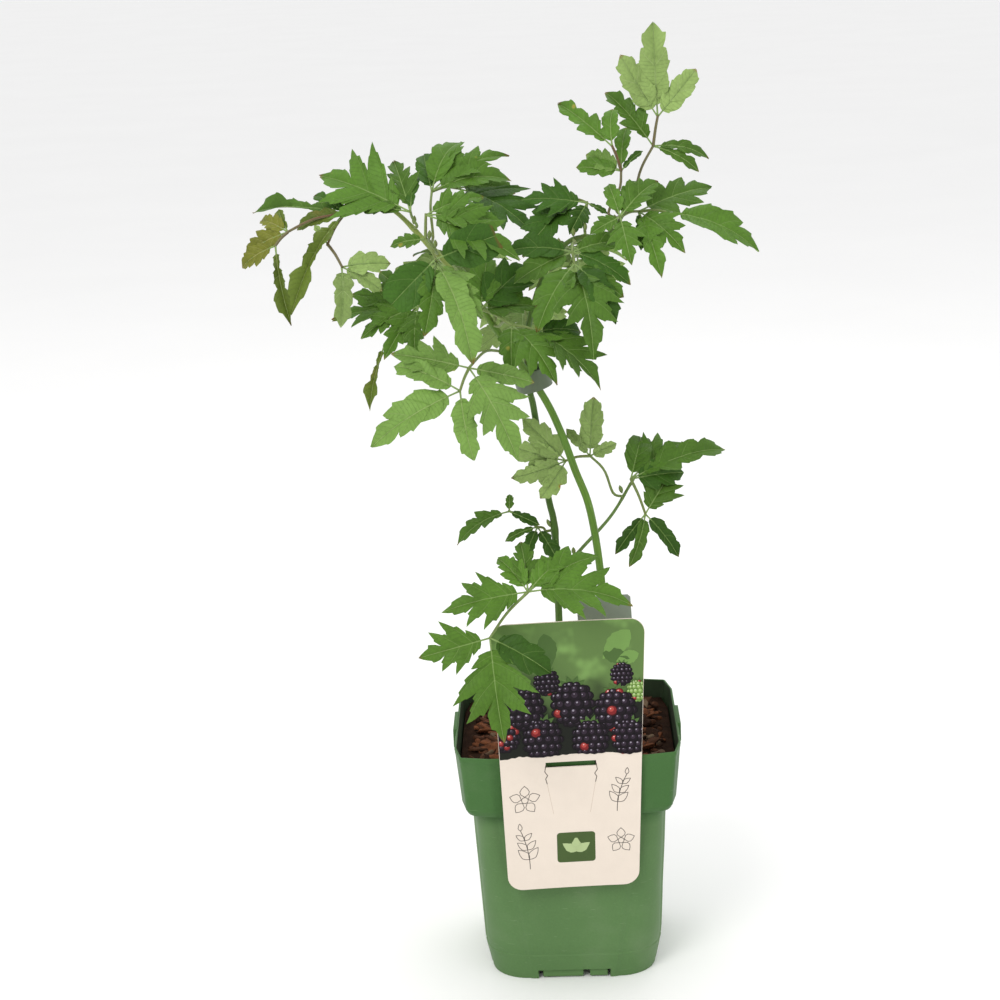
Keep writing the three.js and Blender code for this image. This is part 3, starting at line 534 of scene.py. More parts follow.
class Wiring:
    """A node tree with short ways to add the nodes used here."""

    def __init__(self, tree):
        self.tree = tree

    def feed(self, socket, value):
        """Links an output to a socket, or sets the socket's value."""
        if isinstance(value, bpy.types.NodeSocket):
            self.tree.links.new(value, socket)
        else:
            socket.default_value = value

    def node(self, kind, feeds=None, **settings):
        """A shader node with settings and fed inputs."""
        node = self.tree.nodes.new("ShaderNode" + kind)
        for name, value in settings.items():
            setattr(node, name, value)
        for name, value in (feeds or {}).items():
            self.feed(node.inputs[name], value)
        return node

    def maths(self, operation, *values):
        node = self.node("Math", operation=operation)
        for socket, value in zip(node.inputs, values):
            self.feed(socket, value)
        return node.outputs[0]

    def rise(self, value, low, high):
        """From 0 at the low value smoothly to 1 at the high one."""
        feeds = {"Value": value, "From Min": low, "From Max": high}
        return self.node("MapRange", feeds, interpolation_type="SMOOTHSTEP").outputs["Result"]

    def fall(self, value, low, high):
        """From 1 at the low value smoothly to 0 at the high one."""
        return self.maths("SUBTRACT", 1.0, self.rise(value, low, high))

    def blend(self, part, first, second, kind="MIX"):
        node = self.node("Mix", data_type="RGBA", blend_type=kind)
        for place, value in ((0, part), (6, first), (7, second)):
            self.feed(node.inputs[place], value)
        return node.outputs[2]

    def noise(self, where, scale, detail=3.0):
        return self.node("TexNoise", {"Vector": where, "Scale": scale, "Detail": detail}).outputs["Fac"]

    def cells(self, where, scale):
        return self.node("TexVoronoi", {"Vector": where, "Scale": scale})

    def split(self, vector):
        return self.node("SeparateXYZ", {"Vector": vector}).outputs

    def kept(self, name):
        return self.node("Attribute", attribute_name=name).outputs["Vector"]

    def objects(self):
        return self.node("TexCoord").outputs["Object"]

    def stretch(self, vector, scale):
        """A vector times a scale for each axis."""
        return self.node("Mapping", {"Vector": vector, "Scale": scale}).outputs["Vector"]

    def shared(self, group, feeds):
        node = self.tree.nodes.new("ShaderNodeGroup")
        node.node_tree = group
        for name, value in feeds.items():
            self.feed(node.inputs[name], value)
        return node.outputs

    def mottled(self, where, tone, scale, amount):
        return self.shared(MOTTLE, {"Where": where, "Colour": tone, "Scale": scale, "Amount": amount})[0]

    def dots(self, where, scale, share, size):
        return self.shared(DOTS, {"Where": where, "Scale": scale, "Share": share, "Size": size})

    def dimmed(self, tone, factor):
        """A tone times a factor."""
        grey = self.node("CombineColor", {"Red": factor, "Green": factor, "Blue": factor}).outputs[0]
        return self.blend(1.0, tone, grey, "MULTIPLY")

    def lay(self, tone, mask, share, colour):
        """A tone with a colour laid over it by a share of the mask."""
        return self.blend(self.maths("MULTIPLY", mask, share), tone, (*colour, 1))


def new_group(name, inputs, outputs):
    """An empty shared group with named inputs and outputs. Returns its wiring and both ends."""
    tree = bpy.data.node_groups.new(name, "ShaderNodeTree")
    kinds = {"colour": "NodeSocketColor", "value": "NodeSocketFloat", "vector": "NodeSocketVector"}
    for label, kind, start in inputs:
        socket = tree.interface.new_socket(label, in_out="INPUT", socket_type=kinds[kind])
        if start is not None:
            socket.default_value = start
    for label, kind in outputs:
        tree.interface.new_socket(label, in_out="OUTPUT", socket_type=kinds[kind])
    wires = Wiring(tree)
    return wires, tree.nodes.new("NodeGroupInput").outputs, tree.nodes.new("NodeGroupOutput").inputs


def mottle_group():
    """Colour made lighter and darker in soft patches: times 1 + 4 amount (noise - 0.5)."""
    inputs = [("Where", "vector", None), ("Colour", "colour", (0.5, 0.5, 0.5, 1)),
              ("Scale", "value", 40.0), ("Amount", "value", 0.2)]
    wires, given, ends = new_group("mottle", inputs, [("Colour", "colour")])
    swell = wires.maths("SUBTRACT", wires.noise(given["Where"], given["Scale"], 4.0), 0.5)
    factor = wires.maths("MULTIPLY_ADD", swell, wires.maths("MULTIPLY", given["Amount"], 4.0), 1.0)
    wires.feed(ends["Colour"], wires.dimmed(given["Colour"], factor))
    return wires.tree


def dots_group():
    """Mask of small round dots, one in some of the cells, with a softer ring round each."""
    inputs = [("Where", "vector", None), ("Scale", "value", 100.0), ("Share", "value", 0.2),
              ("Size", "value", 0.1)]
    wires, given, ends = new_group("dots", inputs, [("Dot", "value"), ("Ring", "value")])
    cells = wires.cells(given["Where"], given["Scale"])
    chosen = wires.maths("LESS_THAN", wires.split(cells.outputs["Color"])[0], given["Share"])
    edge = wires.maths("MULTIPLY", given["Size"], 0.6)
    dot = wires.fall(cells.outputs["Distance"], edge, given["Size"])
    ring = wires.fall(cells.outputs["Distance"], given["Size"], wires.maths("MULTIPLY", given["Size"], 2.4))
    wires.feed(ends["Dot"], wires.maths("MULTIPLY", dot, chosen))
    wires.feed(ends["Ring"], wires.maths("MULTIPLY", ring, chosen))
    return wires.tree


def vein_group():
    """Masks of a blade's lines, from the distances kept at its points.

    The vein vector holds the place of the fine veins, the distance from the lobe's vein and the
    distance from the midrib, in millimetres.
    """
    inputs = [("Vein", "vector", None), ("Ahead", "value", 0.5), ("Pitch", "value", 3.0)]
    outputs = [("Midrib", "value"), ("Side", "value"), ("Fine", "value")]
    wires, given, ends = new_group("veins", inputs, outputs)
    fine_place, from_vein, from_midrib = wires.split(given["Vein"])
    width = wires.maths("MULTIPLY_ADD", given["Ahead"], -0.42, 0.62)
    wires.feed(ends["Midrib"], wires.fall(from_midrib, wires.maths("MULTIPLY", width, 0.55), width))
    wires.feed(ends["Side"], wires.fall(from_vein, 0.1, 0.3))
    wave = wires.maths("PINGPONG", fine_place, wires.maths("MULTIPLY", given["Pitch"], 0.5))
    wires.feed(ends["Fine"], wires.fall(wave, 0.04, 0.2))
    return wires.tree


MOTTLE = mottle_group()
DOTS = dots_group()
VEINS = vein_group()


def material(name):
    """A new material with its wiring and its surface node."""
    made = bpy.data.materials.new(name)
    made.use_nodes = True
    wires = Wiring(made.node_tree)
    return made, wires, made.node_tree.nodes["Principled BSDF"]


def lead(wires, surface, tone, rough, specular, height, depth):
    """Leads a colour, a roughness, a specular level and a bump into a surface.

    The roughness is a noise with its swing and its base. The bump is a height from 0 to 1 and its
    depth in millimetres.
    """
    wires.feed(surface.inputs["Base Color"], tone)
    wires.feed(surface.inputs["Roughness"], wires.maths("MULTIPLY_ADD", *rough))
    surface.inputs["Specular IOR Level"].default_value = specular
    bump = wires.node("Bump", {"Height": height, "Strength": 1.0, "Distance": depth * MM})
    wires.feed(surface.inputs["Normal"], bump.outputs["Normal"])


def leaf_finish(name, colour, vein, underside=False, rust=0.0):
    """Blade colour by leaf, with pale veins, faint fine veins, specks, a few spots and dry tips."""
    made, wires, surface = material(name)
    where = wires.objects()
    ahead, tint, age = wires.split(wires.kept("blade"))
    lines = wires.shared(VEINS, {"Vein": wires.kept("vein"), "Ahead": ahead})
    tone = wires.mottled(where, (*colour, 1), 55.0, 0.16)
    tone = wires.mottled(where, tone, 420.0, 0.1)
    tone = wires.dimmed(tone, wires.maths("MULTIPLY_ADD", tint, 0.2, 1.0))
    patches = wires.rise(wires.noise(where, 38.0, 3.0), 0.52, 0.72)
    tone = wires.lay(tone, patches, rust, (0.3, 0.14, 0.03))
    specks = wires.dots(where, 480.0, 0.1, 0.12)
    tone = wires.lay(tone, specks["Dot"], 0.3, (0.36, 0.45, 0.2))
    spots = wires.dots(where, 70.0, 0.2, 0.064)
    aged = wires.rise(age, 0.3, 0.7)
    tone = wires.lay(tone, spots["Ring"], wires.maths("MULTIPLY", aged, 0.65), (0.36, 0.33, 0.06))
    tone = wires.lay(tone, spots["Dot"], aged, (0.3, 0.08, 0.02))
    tone = wires.lay(tone, wires.rise(ahead, 0.93, 1.0), wires.rise(age, 0.3, 0.6), (0.2, 0.09, 0.03))
    shares = (0.2, 0.45, 0.7) if underside else (0.13, 0.38, 0.75)
    for label, share in zip(("Fine", "Side", "Midrib"), shares):
        tone = wires.lay(tone, lines[label], share, vein)
    dull = 0.78 if underside else 0.46
    raised = wires.maths("MAXIMUM", lines["Midrib"], wires.maths("MAXIMUM", lines["Side"], lines["Fine"]))
    sign = 0.5 if underside else -0.5
    height = wires.maths("MULTIPLY_ADD", raised, sign, wires.noise(where, 650.0, 2.0))
    rough = (wires.noise(where, 160.0), 0.22, dull - 0.11)
    lead(wires, surface, tone, rough, 0.1 if underside else 0.14, height, 0.3)
    return made


def bark_finish(name, colour, dark, pale, blush=0.0, young=None):
    """Green bark with long streaks, a ruddy blush on part of it, and small pale dots.

    Young wood, between two distances from the foot in millimetres, turns yellowish green.
    """
    made, wires, surface = material(name)
    skin = wires.kept("skin")
    streaks = wires.rise(wires.noise(wires.stretch(skin, (1.6, 1.6, 0.035)), 1.8, 4.0), 0.35, 0.7)
    tone = wires.blend(streaks, (*colour, 1), (*dark, 1))
    fine = wires.noise(wires.stretch(skin, (6, 6, 0.12)), 1.5, 3.0)
    tone = wires.lay(tone, wires.rise(fine, 0.55, 0.75), 0.35, pale)
    if young:
        tone = wires.lay(tone, wires.rise(wires.split(skin)[2], *young), 0.75, (0.3, 0.36, 0.1))
    patch = wires.rise(wires.noise(wires.stretch(skin, (0.8, 0.8, 0.02)), 1.0, 2.0), 0.5, 0.68)
    tone = wires.lay(tone, patch, blush, (0.16, 0.06, 0.03))
    dots = wires.dots(wires.objects(), 330.0, 0.12, 0.16)
    tone = wires.lay(tone, dots["Dot"], 0.55, (0.33, 0.4, 0.24))
    height = wires.maths("ADD", streaks, wires.maths("MULTIPLY", fine, 0.6))
    lead(wires, surface, tone, (fine, 0.2, 0.36), 0.25, height, 0.12)
    return made


def pot_finish():
    """Green plastic, the collar darker and the body below it paler as painted light, with a faint cloud, fine
    grain, specks and scuffs.
    """
    made, wires, surface = material("pot_green")
    where = wires.objects()
    # Painted light: the body below the collar gets a paler colour and the collar a darker one, for how light
    # falls on each.
    below = wires.fall(wires.split(where)[2], 0.1, 0.113)
    tone = wires.blend(below, (0.05, 0.132, 0.034, 1), (0.091, 0.181, 0.062, 1))
    tone = wires.mottled(where, tone, 14.0, 0.09)
    tone = wires.mottled(where, tone, 900.0, 0.05)
    dust = wires.rise(wires.noise(where, 26.0, 5.0), 0.5, 0.8)
    tone = wires.lay(tone, dust, 0.14, (0.3, 0.34, 0.24))
    dirt = wires.dots(where, 85.0, 0.22, 0.05)
    tone = wires.lay(tone, dirt["Dot"], 0.7, (0.03, 0.028, 0.018))
    scratch = wires.rise(wires.noise(wires.stretch(where, (30, 30, 420)), 4.0, 2.0), 0.7, 0.76)
    tone = wires.lay(tone, scratch, 0.3, (0.28, 0.38, 0.22))
    rough = (wires.noise(where, 60.0, 4.0), 0.2, 0.4)
    lead(wires, surface, tone, rough, 0.2, wires.noise(where, 1400.0, 2.0), 0.03)
    return made


def rough_finish(name, colour, scale, amount, roughness, depth, specular=0.3):
    """A plain colour with soft patches and a grain."""
    made, wires, surface = material(name)
    where = wires.objects()
    tone = wires.mottled(where, (*colour, 1), scale, amount)
    rough = (wires.noise(where, scale * 2), 0.14, roughness - 0.07)
    lead(wires, surface, tone, rough, specular, wires.noise(where, scale * 5, 4.0), depth)
    return made


LEAF_FINISHES = {
    "d": leaf_finish("leaf_deep", (0.038, 0.1, 0.011), (0.14, 0.23, 0.06)),
    "m": leaf_finish("leaf_mid", (0.078, 0.17, 0.02), (0.2, 0.31, 0.09)),
    "b": leaf_finish("leaf_bright", (0.148, 0.265, 0.055), (0.27, 0.38, 0.13)),
    "f": leaf_finish("leaf_fresh", (0.13, 0.225, 0.03), (0.27, 0.36, 0.11), rust=0.25),
    "o": leaf_finish("leaf_olive", (0.095, 0.14, 0.02), (0.21, 0.26, 0.08), rust=0.25),
    "r": leaf_finish("leaf_rusty", (0.16, 0.175, 0.024), (0.3, 0.3, 0.1), rust=0.75),
    "pale": leaf_finish("leaf_underside", (0.255, 0.37, 0.115), (0.36, 0.46, 0.2), underside=True),
    "dusky": leaf_finish("leaf_underside_dusky", (0.14, 0.22, 0.06), (0.25, 0.33, 0.13), underside=True),
}
LEAF_ORDER = list(LEAF_FINISHES)
STALK_FINISH = bark_finish("leaf_stalk", (0.2, 0.29, 0.09), (0.17, 0.22, 0.06), (0.34, 0.4, 0.2), 0.25)
RIB_FINISH = bark_finish("leaf_rib", (0.25, 0.37, 0.12), (0.22, 0.33, 0.1), (0.35, 0.46, 0.2))
RUDDY_STALK = bark_finish("leaf_stalk_ruddy", (0.17, 0.17, 0.08), (0.15, 0.11, 0.06), (0.28, 0.28, 0.15), 0.8)
RUDDY = ("spray_top", "spray_upper_left", "spray_arch_tip")
YOUNG_WOOD = (270, 340)
CANE_TONES = {
    "main": ("cane_bright", (0.125, 0.25, 0.03), (0.08, 0.18, 0.022), (0.2, 0.34, 0.09), 0.15, YOUNG_WOOD),
    "second": ("cane_dark", (0.07, 0.15, 0.02), (0.05, 0.108, 0.016), (0.12, 0.19, 0.05), 0.2),
    "shoot": ("cane_pale", (0.16, 0.27, 0.07), (0.12, 0.2, 0.05), (0.26, 0.36, 0.14), 0.2),
}
CANE_FINISHES = {name: bark_finish(*tones) for name, tones in CANE_TONES.items()}


# Foliage

def filled(veins, more):
    """The veins of a blade with shallower clefts: those that end in one are longer by some part."""
    lengths = [0] + [reach for _, reach in veins] + [1]
    longer = []
    for (place, reach), before, after in zip(veins, lengths, lengths[2:]):
        if before > reach < after:
            reach = max(reach, min(reach + more, 0.85 * min(before, after)))
        longer.append((place, reach))
    return longer


def blade_plan(veins, widths, length, rng):
    """The plan of a blade: for each column its foot on the midrib and its two edge points.

    An edge runs from the stalk over the tips of the veins to the leaf's tip. Each part of it
    bulges by 6.75 t (1 - t)^2, which is full at a third, away from the lobe's tip, and carries
    saw teeth that point to that tip and fade out at both ends. Also returns for each column and
    side where the lobe's vein starts and its direction. All as parts of the leaf's length.
    """
    feet = [STALK] + [STALK + (1 - STALK) * place for place, _ in veins] + [LAST_FOOT]
    corners = []
    for width in widths:
        edge = [(STALK + EDGE_START[0], EDGE_START[1])]
        for place, reach in veins:
            degrees = VEIN_ANGLE["far"] + VEIN_ANGLE["near"] * math.exp(-place / VEIN_ANGLE["fade"])
            ahead = reach * width * math.cos(math.radians(degrees))
            out = reach * width * math.sin(math.radians(degrees))
            edge.append((STALK + (1 - STALK) * (place + ahead), out))
        edge.append(EDGE_END)
        corners.append(np.array(edge))
    spans = len(feet) - 1
    all_feet, edges, roots, ways = [], [[], []], [[], []], [[], []]
    for span in range(spans):
        last = span == spans - 1
        ahead, out = corners[0][span + 1] - corners[0][span]
        rising = out > -2 * max(ahead, 0)
        kind = "root" if span == 0 else "last" if last else "rising" if rising else "falling"
        steps = [side[span + 1] - side[span] for side in corners]
        run = np.mean([np.linalg.norm(step) for step in steps]) * length
        teeth = max(2, round(run / TOOTH_PITCH))
        marks = np.array(TOOTH_MARKS)
        if kind == "falling":
            marks = np.vstack([marks[:1], marks[:0:-1] * (-1, 1) + (1, 0)])
        sizes = rng.uniform(*TOOTH_SIZES, (2, teeth)) * min(1, run / TOOTH_PITCH / 2)
        t = ((np.arange(teeth)[:, None] + marks[:, 0]) / teeth).ravel()
        tooth = np.tile(marks[:, 1], teeth)
        to_tip = 1 - t if kind == "falling" else t
        ends = np.clip(to_tip * 3 - 0.3, 0, 1) * np.clip((0.97 - to_tip) * 4, 0, 1)
        all_feet.append(feet[span] + (feet[span + 1] - feet[span]) * t)
        lobe = max(range(len(veins)), key=lambda k: veins[k][1] if k in (span - 1, span) else 0)
        for side in range(2):
            step = steps[side]
            reach = np.linalg.norm(step)
            outward = np.array([-step[1], step[0]]) / reach
            deep = TOOTH_DEPTH * math.sqrt(length / 50) / length * np.repeat(sizes[side], len(marks))
            bulge = SEGMENT_BULGE[kind] * reach * 6.75 * to_tip * (1 - to_tip) ** 2
            lift = bulge + deep * tooth * ends
            edges[side].append(corners[side][span] + step * t[:, None] + outward * lift[:, None])
            start = np.array([feet[span] if last else feet[lobe + 1], 0.0])
            way = np.array([1.0, 0.0]) if last else unit(corners[side][lobe + 1] - start)
            roots[side].append(np.tile(start, (len(t), 1)))
            ways[side].append(np.tile(way, (len(t), 1)))
    all_feet.append([feet[-1]])
    for side in range(2):
        edges[side].append(corners[side][-1:])
        roots[side].append(roots[side][-1][-1:])
        ways[side].append(ways[side][-1][-1:])
    joined = [np.vstack(part) for group in (edges, roots, ways) for part in group]
    return np.concatenate(all_feet), joined[0:2], joined[2:4], joined[4:6]


def leaflet(leaves, stalks, base, step, normal, veins, broad, draw, rng, tone):
    """One leaflet: a blade of two skins that meet at its edge, and its stalk and midrib.

    Its height over the plane is arch 4 t (1 - t) along the midrib, plus the fold times the way out,
    less a droop by the square of that way and of the way past the middle. A narrow blade is folded
    more. The skin sinks along the veins by bell curves, swells between them, and waves at the edge.
    """
    length = np.linalg.norm(step)
    along = step / length
    roll, arch, fold = (between(BLADE[key], next(draw)) for key in ("roll", "arch", "fold"))
    face = turned(unit(normal - along * (normal @ along)), along, roll)
    side_way = np.cross(face, along)
    widths = [between(BLADE["width"], next(draw)) * broad for _ in range(2)]
    fold += NARROW_FOLD * max(0, 1 - broad)
    short = np.clip((SHALLOW["from"] - length) / SHALLOW["over"], 0, 1)
    more = SHALLOW["short"] * short + SHALLOW["narrow"] * max(0, 1 - broad)
    feet, edges, roots, ways = blade_plan(filled(veins, more), widths, length, rng)
    swing = rng.uniform(0, 2 * math.pi, 2)
    half = np.array(BLADE_ROWS)
    plans, marks, spread = [], [], []
    for side in range(2):
        foot = np.stack([feet, np.zeros_like(feet)], 1)
        reach = edges[side] - foot
        straight = foot[:, None] + reach[:, None] * half[None, :, None]
        offset = straight - roots[side][:, None]
        down = (offset * ways[side][:, None]).sum(-1) * length
        away = np.abs(offset[..., 0] * ways[side][:, None, 1] - offset[..., 1] * ways[side][:, None, 0])
        away = away * length
        bend = np.stack([-reach[:, 1], reach[:, 0]], 1)[:, None]
        bend = bend * (ROW_BEND * half * (1 - half))[None, :, None]
        plan = straight + bend
        plans.append(plan)
        marks.append(np.stack([down - FINE_SLANT * away, away, plan[..., 1] * length], -1))
        spread.append(np.broadcast_to(half, plan.shape[:2]))
    plans[1] = plans[1] * np.array([1, -1])
    plan = np.concatenate([plans[1][:, :0:-1], plans[0]], 1)
    mark = np.concatenate([marks[1][:, :0:-1], marks[0]], 1)
    part = np.concatenate([spread[1][:, :0:-1], spread[0]], 1)
    x, y = plan[..., 0], plan[..., 1]
    wide = np.abs(y)

    def swell(ahead, out):
        lift = arch * 4 * ahead * (1 - ahead) + fold * out - DROOP["side"] * out ** 2
        return length * (lift - DROOP["tip"] * np.maximum(0, ahead - DROOP["from"]) ** 2)

    from_vein, from_midrib = mark[..., 1], mark[..., 2]
    sink = -GROOVES["side"][0] * np.exp(-(from_vein / GROOVES["side"][1]) ** 2)
    sink = sink - GROOVES["midrib"][0] * np.exp(-(from_midrib / GROOVES["midrib"][1]) ** 2)
    puff = PUFF[0] * (1 - np.exp(-(from_vein / PUFF[1]) ** 2))
    wave = np.sin(2 * math.pi * EDGE_WAVE["rate"] * x + np.where(y > 0, swing[0], swing[1]))
    height = swell(x, wide) + (sink + puff) * (1 - part ** 4)
    height = height + EDGE_WAVE["deep"] * length * part ** 2 * wave
    height = height + GRAIN["deep"] * ripple(x * length, y * length, GRAIN["pitch"], 3)
    thick = BLADE_THICK / 2 * (1 - part ** 4)
    thick[0] = 0
    thick[-1] = 0
    columns, rows = x.shape
    flat = base + length * (x[..., None] * along + y[..., None] * side_way)
    top = flat + face * (height + thick)[..., None]
    under = flat + face * (height - thick)[..., None]
    index = np.arange(columns * rows).reshape(columns, rows)
    inner = np.zeros((columns, rows), bool)
    inner[1:-1, 1:-1] = True
    below = index.copy()
    below[inner] = columns * rows + np.arange(inner.sum())
    a, b, c, d = (index[:-1, :-1], index[1:, :-1], index[1:, 1:], index[:-1, 1:])
    top_faces = np.stack([a, b, c, d], -1).reshape(-1, 4)
    a, b, c, d = (below[:-1, :-1], below[1:, :-1], below[1:, 1:], below[:-1, 1:])
    under_faces = np.stack([a, d, c, b], -1).reshape(-1, 4)
    points = np.vstack([top.reshape(-1, 3), under[inner]])
    vein = np.vstack([mark.reshape(-1, 3), mark[inner]])
    tint, age = rng.uniform(-1, 1), rng.uniform(0, 1)
    ahead = np.append(x.ravel(), x[inner])
    blade = np.stack([ahead, np.full(len(points), tint), np.full(len(points), age)], 1)
    tops, unders = ("pale", "m") if tone.isupper() else (tone, "dusky" if tone == "d" else "pale")
    leaves.add(points, [top_faces], LEAF_ORDER.index(tops), vein=vein, blade=blade)
    leaves.cover([under_faces], LEAF_ORDER.index(unders))

    places = np.concatenate([np.linspace(0, STALK, 4), np.linspace(STALK + 0.04, RIB["end"], 12)])
    radii = np.interp(places, [0, STALK, RIB["end"]], [RIB["root"], RIB["stalk"], RIB["tip"]])
    sunk = np.where(places > STALK + 0.01, -RIB["sunk"] - RIB["part_sunk"] * radii, 0.0)
    if tone.isupper():
        sunk = -sunk - RIB["turned"]
    spine = base + np.outer(places * length, along) + np.outer(swell(places, 0) + sunk, face)
    points, tables, skin = tube(spine, radii, 6)
    stalks.add(points, tables, skin=skin)


def bud_on(cane, near, toward):
    """Where a spray leaves its cane: the nearest place on it, and the way out of its skin."""
    parts = np.arange(PROBES + 1) / PROBES
    points, ways = curve(cane["route"], parts)
    best = int(np.argmin(np.linalg.norm(points - near, axis=1)))
    if best == PROBES:
        return points[best] + ways[best] * CLEAR, ways[best], 1.0
    out = toward - points[best]
    out = unit(out - ways[best] * (out @ ways[best]))
    radius = np.interp(parts[best], np.linspace(0, 1, len(cane["radii"])), cane["radii"])
    return points[best] + out * (radius + CLEAR), out, parts[best]


def facing(turn, lift):
    """The outward normal of blades turned from the front and lifted from level, in degrees."""
    turn, lift = math.radians(turn), math.radians(lift)
    return np.array([
        math.sin(turn) * math.cos(lift), -math.cos(turn) * math.cos(lift), math.sin(lift),
    ])


def step_to_tip(own, normal, direction, reach):
    """The step from a knot to a leaflet's tip.

    As seen from the front it is drawn in the picture, then leaned along the line of sight into
    the plane of the blades. A fan of its own is drawn in the plane of its blades instead.
    """
    angle = math.radians(direction)
    if own:
        right = unit(np.cross([0, 0, 1], normal))
        slope = np.cross(normal, right)
        return right * reach * math.cos(angle) + slope * reach * math.sin(angle)
    flat = FRONT_RIGHT * math.cos(angle) + FRONT_UP * math.sin(angle)
    lean = np.clip(-(flat @ normal) / (FRONT_NEAR @ normal), -MOST_LEAN, MOST_LEAN)
    return (flat + FRONT_NEAR * lean) * reach


def petiole(stalks, start, out, end):
    """A leaf stalk bowed a little upwards, thicker where it clasps its cane."""
    way = end - start
    reach = np.linalg.norm(way)
    route = [start]
    if out is not None:
        route.insert(0, start - out * TWIG["rooted"])
        route.append(start + out * min(TWIG["stub"], reach * TWIG["stub_part"]))
    route.append(start + way * TWIG["middle"] + np.array([0, 0, TWIG["bow"] * reach]))
    route.append(end + way / reach * TWIG["past"])
    parts = np.linspace(0, 1, PETIOLE["steps"] + 1)
    line, _ = curve(route, parts)
    radii = between((PETIOLE["start"], PETIOLE["end"]), parts)
    if out is not None:
        radii = radii + (PETIOLE["foot"] - PETIOLE["start"]) * np.exp(-(parts / PETIOLE["clasp"]) ** 2)
    radii = radii * (1 + 0.03 * np.sin(parts * 40))
    points, tables, skin = tube(line, radii, PETIOLE["sides"])
    stalks.add(points, tables, 1, skin=skin)


def grow(row):
    """All leaflets and stalks of one spray, as two pieces. Returns its cane and place on it."""
    draw = numbers(row["seed"])
    rng = np.random.default_rng(row["seed"])
    leaves, stalks = Shape("vein", "blade"), Shape("skin")
    knots = row["knots"]
    for here in knots:
        at = here["at"]
        normal = facing(here["turn"], here["lift"])
        if here["on"] < 0:
            root = bud_on(CANES[row["cane"]], np.array(row["bud"], float), at)
            petiole(stalks, *root[:2], at)
        else:
            petiole(stalks, knots[here["on"]]["at"], None, at)
        for (direction, reach, veins, *broad), tone in zip(here["fan"], here["tones"]):
            step = step_to_tip(here["own"], normal, direction, reach)
            leaflet(leaves, stalks, at, step, normal, veins, (broad or [1])[0], draw, rng, tone)
    finishes = [LEAF_FINISHES[key] for key in LEAF_ORDER]
    leaves.piece("leaves_" + row["name"][6:], [row["name"]], "leaf", finishes, sharp=75)
    finishes = [RIB_FINISH, RUDDY_STALK if row["name"] in RUDDY else STALK_FINISH]
    stalks.piece("stalks_" + row["name"][6:], [row["name"]], "leaf", finishes)
    return row["cane"], root


ROOTS = [grow(row) for row in SPRAYS]


# Canes

def cane_piece(name, cane):
    """A cane with soft ridges, swollen where sprays leave it, with a bud at each such place.

    The ridges are a cosine round the cane that turns slowly with the length, a swelling is a bell
    curve along it, and the tip is drawn in.
    """
    shape = Shape("skin")
    parts = np.linspace(0, 1, 101 if name == "shoot" else 301)
    line, _ = curve(cane["route"], parts)
    if name != "shoot":
        line = np.vstack([line[:1] - np.array([0, 0, CANE_FOOT]), line])
        parts = np.append(0, parts)
    run = np.concatenate([[0], np.cumsum(np.linalg.norm(np.diff(line, axis=0), axis=1))])
    radii = np.interp(parts, np.linspace(0, 1, len(cane["radii"])), cane["radii"]) * SLENDER[name]
    roots = [root for owner, root in ROOTS if owner == name]
    swelling = np.zeros(len(run))
    for _, _, place in roots:
        middle = np.interp(place, parts, run)
        swelling += SWOLLEN["deep"] * np.exp(-((run - middle) / SWOLLEN["reach"]) ** 2)
    sides = 20
    angle = np.arange(sides) / sides * 2 * math.pi
    ridges = RIDGES["deep"] * np.cos(RIDGES["count"] * (angle[None] + run[:, None] * RIDGES["twist"]))
    bark = 0.012 * ripple(angle[None] * 6, run[:, None] * 0.5, 6, 17)
    full = radii[:, None] * (1 + ridges + bark + swelling[:, None])
    full[-1] *= 0.6
    points, tables, skin = tube(line, full, sides)
    shape.add(points, tables, skin=skin)
    t = np.linspace(0, 1, BUD["rings"])
    plump = BUD["radius"] * np.sin(math.pi * np.clip(t * 0.92 + 0.05, 0, 1)) ** 0.8
    for start, out, place in roots:
        if place == 1.0:
            continue
        foot = start - out * 0.6 + np.array([0, 0, 2.2])
        bud = foot + np.outer(t * BUD["length"], unit(out * 0.45 + np.array([0, 0, 1.0])))
        points, tables, skin = tube(bud, plump, BUD["sides"])
        shape.add(points, tables, 1, skin=skin)
    finishes = [CANE_FINISHES[name], STALK_FINISH]
    shape.piece("cane_" + name + "_bark", ["cane_" + name], "green_stem", finishes)


for cane_name, cane_row in CANES.items():
    cane_piece(cane_name, cane_row)


# Pot

def level_at(z):
    """Half width, corner, crease and bow at a height, between the listed levels."""
    return [np.interp(z, POT_LEVELS[:, 0], POT_LEVELS[:, k]) for k in range(1, 5)]


def pot_ring(level, inward, z, scale=1.0):
    """The pot's outline moved in by a distance: flat panels, creases and rounded corners."""
    half, corner, crease, bow = level
    half = half - inward
    corner = max(corner - inward, LEAST_CORNER)
    crease = min(crease, half - corner - 1)
    centre = half - corner
    flat = np.array(FLAT_PARTS)
    angle = np.arange(ARC_STEPS + 1) / ARC_STEPS * math.pi / 2
    panel = np.stack([np.full(len(PANEL_PARTS), half + bow), crease * np.array(PANEL_PARTS)], 1)
    slope = np.stack([half + bow * (1 - flat), crease + (centre - crease) * flat], 1)
    arc = centre + corner * np.stack([np.cos(angle), np.sin(angle)], 1)
    x, y = np.vstack([panel, slope, arc, slope[::-1, ::-1]]).T * scale
    ring = np.concatenate([(x, y), (-y, x), (-x, -y), (y, -x)], axis=1)
    return np.column_stack([ring.T, np.full(ring.shape[1], float(z))])


